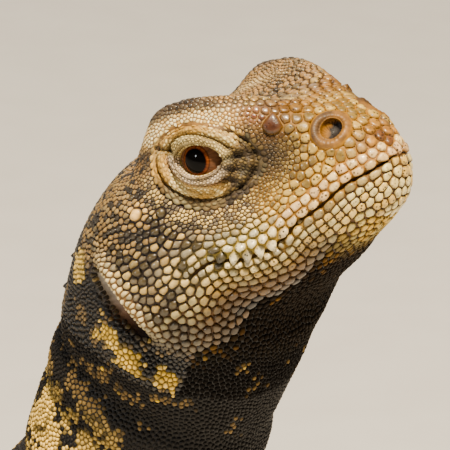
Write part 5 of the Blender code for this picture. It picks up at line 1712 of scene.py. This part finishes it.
COLOURS = {
    "snout": ("Scales on top of the snout", "#B07C2C"),
    "snout_brown": ("Browner scales on top of the snout", "#6E4626"),
    "snout_olive": ("Grey-olive scales on the snout's sides", "#806830"),
    "snout_pale": ("Paler scales on the snout's sides", "#D6B458"),
    "snout_groove": ("Golden skin between the scales of the snout's sides", "#9C6C00"),
    # The dark skin on top of the snout is partly painted shade in the grooves.
    "snout_groove_top": ("Skin between the scales on top of the snout", "#6A4404"),
    "lip": ("Scales over the upper lip", "#FFE09C"),
    "lip_pink": ("Pinker scales over the upper lip", "#EEC690"),
    "lip_groove": ("Skin between the lip scales", "#A06C10"),
    "corner_scale": ("Pointed scales by the mouth's corner", "#E4DEB8"),
    "corner_groove": ("Skin by the mouth's corner", "#9A8420"),
    "cheek": ("Cheek scales", "#B0904E"),
    "cheek_light": ("Lighter cheek scales", "#F0D07C"),
    "grey": ("Grey scales among the others", "#6E6450"),
    "groove": ("Skin between the cheek's scales", "#3A1E06"),
    "dark": ("Charcoal scales on the cheek and before the eye", "#201C18"),
    "temple": ("Small scales behind the eye", "#94743E"),
    "crown": ("Scales on top of the head", "#A88046"),
    "crown_dark": ("Darker scales on top of the head", "#5E4C34"),
    "crown_groove": ("Skin between the crown's scales", "#3E2A0E"),
    "jaw": ("Scales of the lower jaw", "#FFEA98"),
    "jaw_warm": ("Yellower scales of the lower jaw", "#F0C65C"),
    # The lower jaw's groove colour also tints the painted shade under the jaw.
    "jaw_groove": ("Skin between the lower jaw's scales", "#5E3C02"),
    "brow": ("The ridge over the eye", "#FFEEB4"),
    "brow_warm": ("Warmer scales of the ridge", "#FACC74"),
    "brow_front": ("Plum-brown front end of the ridge", "#70402A"),
    "brow_groove": ("Skin between the ridge's scales", "#9A7030"),
    # The throat's near black is partly painted shade under the head.
    "throat": ("Dark throat", "#0C0703"),
    "throat_light": ("Ochre mottling of the throat", "#6E4E18"),
    "lid": ("Cream scales of the upper lid", "#FFEEA8"),
    "lid_dull": ("Duller lid scales", "#B0924C"),
    "lid_grey": ("Pink-grey scales of the lower lid", "#E8D2B4"),
    "lid_gold": ("Golden skin of the folds", "#CCA048"),
    "lid_orange": ("Orange-brown creases under the eye", "#8E5812"),
    "lid_groove": ("Skin between the lid scales", "#5E4818"),
    # The crease colour is partly painted shade: deep in the lids' creases and nearly black inside the
    # nostrils.
    "crease": ("Skin deep in the creases of the lids", "#24140A"),
    "neck": ("Near black granules", "#100C09"),
    "neck_tan": ("Tan flecks", "#7A6236"),
    "yellow": ("Bright yellow patches", "#FFD038"),
    "body_dark": ("Black-brown of back and legs", "#231F1C"),
    "body_tan": ("Yellow-tan spots", "#B88E44"),
    "belly": ("Pale belly", "#BCA880"),
    "tail": ("Tail scales", "#80643C"),
    "spine": ("Dark horn of the spines", "#3A2C20"),
    "iris": ("Red-brown ring", "#6E3A18"),
    "iris_inner": ("Edge of the pupil", "#4E220C"),
    "eye_white": ("Flesh brown beside the iris", "#60402A"),
    "eye_corner": ("Pink-brown flesh", "#7E5642"),
    "nostril": ("Orange lining", "#7E5400"),
    "nostril_rim": ("Tan rim", "#7E561C"),
    "ear_drum": ("Pale membrane in the ear", "#B5ADA0"),
    "ear_skin": ("Orange-brown skin inside the ear", "#6A401A"),
    "claw": ("Claw tips", "#1E1814"),
    "claw_root": ("Roots of the claws", "#6A5A44"),
}


def length_setting(name, description, value):
    """A length a user can change, given in millimetres."""
    return FloatProperty(name=name, description=description, default=value * MM, min=0.0002, unit="LENGTH",
                         precision=5)


class LizardColours(bpy.types.PropertyGroup):
    """Colours of the markings, given as sRGB hex."""
    __annotations__ = {
        name: FloatVectorProperty(name=name.replace("_", " ").capitalize(), description=description,
                                  subtype="COLOR", size=3, min=0, max=1, default=linear(value))
        for name, (description, value) in COLOURS.items()
    }


class LizardScales(bpy.types.PropertyGroup):
    """Sizes of the scales."""
    snout: length_setting("Snout scales", "Width of scales on the snout", 1.38)
    lip: length_setting("Lip scales", "Width of scales along the lips", 1.25)
    cheek: length_setting("Cheek scales", "Width of scales on cheek and jaw", 1.12)
    crown: length_setting("Crown scales", "Width of scales on top of the head", 0.68)
    neck: length_setting("Neck granules", "Width of granules on the neck", 0.6)
    body: length_setting("Body scales", "Width of scales on torso and limbs", 1.25)
    seed: IntProperty(name="Seed", description="Spreads the scales another way", default=5, min=0)


class LizardSpines(bpy.types.PropertyGroup):
    """Sizes of the tail's whorls."""
    length_first: length_setting("First spines", "Length of spines at the tail's root", 2.9)
    length_last: length_setting("Last spines", "Length of spines at the tail's tip", 1.6)
    width_first: length_setting("First tiles", "Width of scales at the tail's root", 3.2)
    width_last: length_setting("Last tiles", "Width of scales at the tail's tip", 2.1)


class LizardStage(bpy.types.PropertyGroup):
    """Light and camera."""
    key_light: FloatProperty(name="Key light", description="Power of the key light", default=21, min=0,
                             unit="POWER")
    fill_light: FloatProperty(name="Fill light", description="Power of the fill light", default=1.6, min=0,
                              unit="POWER")
    azimuth: FloatProperty(name="Camera azimuth", description="Turn of the view about the model",
                           default=math.radians(34.5), subtype="ANGLE")
    elevation: FloatProperty(name="Camera elevation", description="Height of the view above level",
                             default=math.radians(18.35), subtype="ANGLE")


# Operators.

class LIZARD_OT_skin(bpy.types.Operator):
    """Builds the trunk's skin: head and neck, torso and tail, lids, nostrils and ear drums"""
    bl_idname = "lizard.skin"
    bl_label = "Trunk skin"

    def execute(self, context):
        sheets, tint = all_sheets(), colours_of(context)
        matt, wet = soft_skin(), moist_lining()
        head = trunk_sheet(head_rows(), HEAD_COLUMNS, sunk=True)
        make_skin("skin_head", [head], [self.head_colour(head, tint)], matt, ("head", "neck"))
        fewer = np.append(np.arange(0, len(sheets["body"].points) - 1, 2), -1)
        body = Fields({name: field[fewer, ::2] for name, field in sheets["body"].items()})
        make_skin("skin_body", [body], [paint_body(bare(body), tint)[1]], matt,
                  ("torso", "tail_base", "tail_middle", "tail_tip"))
        for _, end in SIDES:
            lid, nostril = sheets["lids_" + end], sheets["nostril_" + end]
            make_skin("skin_lids_" + end, [lid], [self.lid_colour(lid, tint)], matt)
            make_skin("skin_nostril_" + end, [nostril], [self.nostril_colour(nostril, tint)], wet)
        return {"FINISHED"}

    def head_colour(self, head, tint):
        """The head's skin: the markings' ground, the ear's lining and drum, and painted shade along the shut
        mouth's line.
        """
        at = x, y, z = to_head(head.points)
        in_ear = ease((1.1 - ear_cup(x, z)) / 0.3) * climb(y, 7, 3)
        drum = hump(at, (-34.2, 12.5, -1.6), (1.6, 4, 2.2))
        lining = mix(tint.ear_skin, tint.crease, climb(-ear_plane(x, z)[1], 0.5, 3))
        gap = mix(paint_head(bare(head), tint)[1], mix(lining, tint.ear_drum, 1.2 * drum), in_ear)
        shut = bell(above_mouth(head.s, head.up), 0.3)
        # Painted shade in the groove between the lips, along the shut mouth's line.
        return mix(gap, tint.lip_groove * 0.3, shut * ease((MOUTH_CORNER - head.s) / 1))

    def lid_colour(self, lid, tint):
        """The lids' skin: paler where it rolls in, and pink in the front corner."""
        top, gap = paint_lids(bare(lid), tint)
        rolled = ease((7 - np.arange(len(lid.points))) / 3)[:, None]
        gap = mix(mix(gap, top, 0.3), tint.lid_dull * 0.7, rolled)
        return mix(gap, tint.eye_corner, climb(lid.along, 1.9, 0.5) * rolled)

    def nostril_colour(self, nostril, tint):
        """A nostril's skin: a tan rim, dark up and back, a golden lining, and painted shade that makes it
        nearly black inside.
        """
        gap = paint_head(bare(nostril), tint)[1]
        shade = (0.6 + 0.8 * cloud(nostril.points, 0.7, 72))[..., None]
        x, _, z = to_head(nostril.points)
        forward = x - x.mean(1, keepdims=True)
        dark = 0.6 * climb(0.5 * (z - NOSTRIL[2]) - forward, 0.2, 1)
        depth = nostril.depth
        rim = mix(gap, mix(tint.nostril_rim, tint.dark, dark) * shade, climb(depth, -0.85, 0.12))
        inner = mix(rim, tint.nostril, climb(depth, -0.12, 0.2))
        # Painted shade: nearly black deep inside the nostril.
        return mix(inner, tint.crease * 0.25, climb(depth + 0.8 * forward, 0.72, 0.15))


class LIZARD_OT_limbs(bpy.types.Operator):
    """Builds the skin of the four legs with their toes"""
    bl_idname = "lizard.limbs"
    bl_label = "Limb skin"

    def execute(self, context):
        sheets, tint = all_sheets(), colours_of(context)
        matt = soft_skin()
        for name in LIMBS:
            parts = [sheets[name], *sheets[name + "_toes"]]
            colours = [paint_leg(bare(part), tint)[1] for part in parts]
            make_skin("skin_" + name, parts, colours, matt, (name,))
        return {"FINISHED"}


class LIZARD_OT_head_scales(bpy.types.Operator):
    """Raises the scales of head, lips and lids"""
    bl_idname = "lizard.head_scales"
    bl_label = "Head scales"

    def execute(self, context):
        roots, tint = all_roots(context), colours_of(context)
        horn = scale_keratin("satin_head_scales", 0.7, 0.15, 0.45, coat=0.35, bend=1.45)
        fine = scale_keratin("lid_granules", 0.5, 0.42, 0.3, bend=1.34)
        throat = scale_keratin("dull_throat_granules", 0.7, 0.6, 0.3, bend=1.2)
        around = join_roots([group for name, group in roots.items() if name in HEAD_GROUPS])
        group = join_roots([roots["head"], roots["lips"], roots["large"]])
        shape, looks = head_scale_shape(group), paint_head(group, tint)
        beneath = (group.up < -0.6) & (to_head(group.point)[0] < -5)
        for name, which, material, rings, directions in (("scales_head", ~beneath, horn, DOME, 12),
                                                         ("scales_throat", beneath, throat, LOW_DOME, 8)):
            make_scales(name, pick_roots(group, which), around, [part[which] for part in shape],
                        [part[which] for part in looks], rings, directions, material)
        for _, end in SIDES:
            lid = roots["lids_" + end]
            looks = (*paint_lids(lid, tint), 0 * lid.size)
            make_low_scales("scales_lids_" + end, lid, around, 0.2, 0.1, 0, looks, fine, 0.02,
                            LOW_DOME)
        return {"FINISHED"}


class LIZARD_OT_body_scales(bpy.types.Operator):
    """Raises the granules of the neck and the scales of torso and limbs"""
    bl_idname = "lizard.body_scales"
    bl_label = "Neck, body and limb scales"

    def execute(self, context):
        roots, tint = all_roots(context), colours_of(context)
        beads = scale_keratin("neck_granules", 0.6, 0.34, 0.3, bend=1.34)
        plates = scale_keratin("satin_body_scales", 1, 0.36, 0.3)
        neck = roots["neck"]
        around = join_roots([roots[name] for name in ("head", "neck", "body") if name in roots])
        make_low_scales("scales_neck", neck, around, 0.36, 0.2, 0.1, paint_head(neck, tint), beads)
        body = roots["body"]
        around = join_roots([roots[name] for name in ("neck", "body", *LIMBS)])
        flank = bell(body.up, 0.5) * climb(body.size, 0.9, 0.3)
        raised = 0.16 + 0.12 * ease((95 - body.s) / 25) + 0.1 * flank * (body.chance > 0.86)
        make_low_scales("scales_body", body, around, raised, 0.15, 0.18, paint_body(body, tint), plates)
        for name in LIMBS:
            limb = join_roots([roots[name], roots[name + "_toes"]])
            around = join_roots([limb, roots["body"]])
            make_low_scales("scales_" + name, limb, around, 0.2, 0.25, 0.2, paint_leg(limb, tint), plates)
        return {"FINISHED"}


class LIZARD_OT_tail_whorls(bpy.types.Operator):
    """Builds the tail's whorls of keeled scales, each drawn out into a spine"""
    bl_idname = "lizard.tail_whorls"
    bl_label = "Tail whorls"

    def execute(self, context):
        chosen = context.scene.lizard_spines
        draw = np.random.default_rng(WHORL_SEED)
        turn, front, back, half, share = whorl_tiles(chosen)
        count = len(turn)
        turn = turn + draw.uniform(-0.06, 0.06, count) * half
        length = (chosen.length_first + (chosen.length_last - chosen.length_first) * share) / MM
        points, spot = whorl_points(turn, front, back, half, length, draw)
        along = np.concatenate([TILE_STEPS * 0.4, 0.55 + 0.45 * SPINE_STEPS])
        shade = whorl_colours(spot, turn, draw.random(count), along, colours_of(context))
        back_share = 0.02 + 0.96 * (front - FIRST_RING) / (TAIL_END - FIRST_RING)
        middle = np.stack([back_share, np.mod(turn / TURN, 1)], -1)
        patch = np.stack(np.meshgrid(along - 0.5, 0.5 * np.cos(angles(TILE_COLUMNS)), indexing="ij"), -1)
        place_on_map = middle[:, None, None] + MAP_PATCH * patch
        layers = {"Colour": shade, "Dots": np.zeros(len(shade)), "Edge": np.zeros(len(shade))}
        make_piece("tail_whorls", points, tube_faces(count, len(along), TILE_COLUMNS),
                   scale_keratin("tail_spine_horn", 1.2, 0.34, 0.5), layers,
                   place_on_map.reshape(-1, 2))
        return {"FINISHED"}


class LIZARD_OT_eyes(bpy.types.Operator):
    """Builds both eyeballs, with the cornea bulging a little"""
    bl_idname = "lizard.eyes"
    bl_label = "Eyes"

    def execute(self, context):
        tint = colours_of(context)
        material = wet_eye(tint)
        for side, end in SIDES:
            middle, run, rise, out = eye_axes(side)
            gaze = unit(out - 0.06 * run - 0.03 * rise)
            flat = unit(run - gaze * dot(run, gaze))
            over = np.cross(gaze, flat)
            down = np.linspace(0, math.pi, 60)
            turn = angles(72)
            v, u = np.meshgrid(down, turn, indexing="ij")
            size = EYE_RADIUS * (1 + 0.035 * bell(v, 0.42))
            points = middle + gaze * (size * np.cos(v))[..., None]
            points = points + flat * (size * np.sin(v) * np.cos(u))[..., None]
            points = points + over * (size * np.sin(v) * np.sin(u))[..., None]
            order = face_outwards(points[1:20], out)
            points = points[order]
            rows, columns = v.shape
            piece = make_piece("eyeball_" + end, points, [grid_faces(rows, columns)], material, {},
                               np.stack([v / math.pi, u / TURN], -1).reshape(-1, 2), ("eye_" + end,))
            gaze_map = piece.data.uv_layers.new(name="Gaze")
            corner = np.zeros(len(piece.data.loops), dtype=np.int32)
            piece.data.loops.foreach_get("vertex_index", corner)
            flat_map = np.stack([u / TURN, v], -1).reshape(-1, 2)
            gaze_map.data.foreach_set("uv", flat_map[corner].astype(np.float32).ravel())
        return {"FINISHED"}


class LIZARD_OT_claws(bpy.types.Operator):
    """Builds the twenty claws as curved, tapering cones"""
    bl_idname = "lizard.claws"
    bl_label = "Claws"

    def execute(self, context):
        sheets, tint = all_sheets(), colours_of(context)
        material = claw_horn(tint)
        along = np.linspace(0, 1, CLAW_ROWS)
        for side, end in SIDES:
            starts = [claw for limb in ("foreleg_", "hindleg_") for claw in sheets[limb + end + "_claws"]]
            start = np.array([claw[0] for claw in starts])[:, None]
            way = np.array([claw[1] for claw in starts])[:, None]
            drop = 0.35 * np.sin(along * math.pi * 0.8) - 1.1 * along**2.2
            drop = drop[None, :, None] * np.array([0, 0, 1])
            path = start + way * (CLAW_LENGTH * along)[None, :, None] + drop
            thick = 0.8 * (1 - along**1.6) ** 0.75 + 0.03
            rings = rings_about(path, 0.72 * thick, thick, CLAW_COLUMNS)[1]
            points = on_side(rest_on_floor(path[:, :, None] + rings, 0.05), side)
            count = len(points)
            spot = np.meshgrid(np.arange(count) / count, along, angles(CLAW_COLUMNS) / 7, indexing="ij")
            make_piece("claws_" + end, points, tube_faces(count, CLAW_ROWS, CLAW_COLUMNS), material,
                       {"Edge": np.tile(np.repeat(along, CLAW_COLUMNS), count)},
                       np.stack(spot[::2], -1).reshape(-1, 2))
        return {"FINISHED"}


class LIZARD_OT_stage(bpy.types.Operator):
    """Sets up the pale floor, the soft lights and the camera"""
    bl_idname = "lizard.stage"
    bl_label = "Stage"

    def execute(self, context):
        scene, chosen = context.scene, context.scene.lizard_stage
        mesh = bpy.data.meshes.new("floor")
        mesh.from_pydata([(-30, -30, 0), (30, -30, 0), (30, 30, 0), (-30, 30, 0)], [], [(0, 1, 2, 3)])
        mesh.materials.append(matt_paper())
        floor = add_object("floor", mesh)
        scene.world = bpy.data.worlds.new("soft_studio")
        scene.world.use_nodes = True
        connect(scene.world.node_tree, scene.world.node_tree.nodes["Background"],
                {"Color": (*linear("#E4E6E8"), 1), "Strength": 0.13})
        snout = np.array([NOSE_FORWARD, 0, NOSE_HEIGHT]) * MM
        turn, lift = chosen.azimuth, chosen.elevation
        back = np.array([math.sin(turn) * math.cos(lift), -math.cos(turn) * math.cos(lift), math.sin(lift)])
        right = np.array([math.cos(turn), math.sin(turn), 0])
        up = np.cross(back, right)
        middle = PHOTO_SIDE / 2
        aim = (snout + right * (middle - PHOTO_SNOUT[0]) / PIXELS_PER_METRE
               + up * (PHOTO_SNOUT[1] - middle) / PIXELS_PER_METRE)
        camera = bpy.data.cameras.new("camera")
        camera.sensor_width = SENSOR
        camera.lens = SENSOR * CAMERA_DISTANCE / (PHOTO_SIDE / PIXELS_PER_METRE)
        camera.clip_start = 0.01
        scene.camera = self.place("camera", camera, aim + back * CAMERA_DISTANCE, right, up, back)
        fill = chosen.fill_light
        for name, power, size, colour, way in (
                ("key_light", chosen.key_light, 0.1, "#FFEBCC", back * 0.62 + right * 0.15 + up * 0.82),
                ("fill_light", fill, 0.08, "#F2F4F8", back * 0.53 - right * 0.84 + up * 0.1),
                ("rim_light", fill * 0.5, 0.5, "#F2F4F8", -back * 0.6 - right * 0.3 + up * 0.8)):
            light = bpy.data.lights.new(name, "AREA")
            light.shape = "DISK"
            light.size = size
            light.energy = power
            light.color = linear(colour)
            toward = unit(way)
            side = unit(np.cross(np.array([0, 0, 1]), toward))
            self.place(name, light, aim + toward * LAMP_DISTANCE, side, np.cross(toward, side), toward)
        return {"FINISHED"}

    def place(self, name, data, spot, right, up, back):
        """Puts a light or camera at a spot, looking away from its back."""
        thing = add_object(name, data)
        turned = np.eye(4)
        turned[:3] = np.stack([right, up, back, spot], 1)
        thing.matrix_world = Matrix(turned.tolist())
        return thing


class LIZARD_PT_panel(bpy.types.Panel):
    """Lists the steps that build the lizard"""
    bl_label = "Uromastyx"
    bl_idname = "LIZARD_PT_panel"
    bl_space_type = "VIEW_3D"
    bl_region_type = "UI"
    bl_category = "Lizard"

    def draw(self, context):
        for step in STEPS:
            self.layout.operator(step.bl_idname)
        for group in (context.scene.lizard_scales, context.scene.lizard_spines, context.scene.lizard_stage,
                      context.scene.lizard_colours):
            box = self.layout.box()
            for name in group.__annotations__:
                box.prop(group, name)


STEPS = (LIZARD_OT_skin, LIZARD_OT_limbs, LIZARD_OT_head_scales, LIZARD_OT_body_scales, LIZARD_OT_tail_whorls,
         LIZARD_OT_eyes, LIZARD_OT_claws, LIZARD_OT_stage)
GROUPS = {"lizard_colours": LizardColours, "lizard_scales": LizardScales, "lizard_spines": LizardSpines,
          "lizard_stage": LizardStage}


def register():
    """Registers settings, operators and the panel."""
    for kind in (*GROUPS.values(), *STEPS, LIZARD_PT_panel):
        bpy.utils.register_class(kind)
    for name, kind in GROUPS.items():
        setattr(bpy.types.Scene, name, PointerProperty(type=kind))


def unregister():
    """Takes them all away again."""
    for name in GROUPS:
        delattr(bpy.types.Scene, name)
    for kind in (LIZARD_PT_panel, *reversed(STEPS), *reversed(list(GROUPS.values()))):
        bpy.utils.unregister_class(kind)


def main():
    """Builds the whole model."""
    register()
    for step in STEPS:
        getattr(bpy.ops.lizard, step.bl_idname.split(".")[1])()


if __name__ == "__main__":
    main()
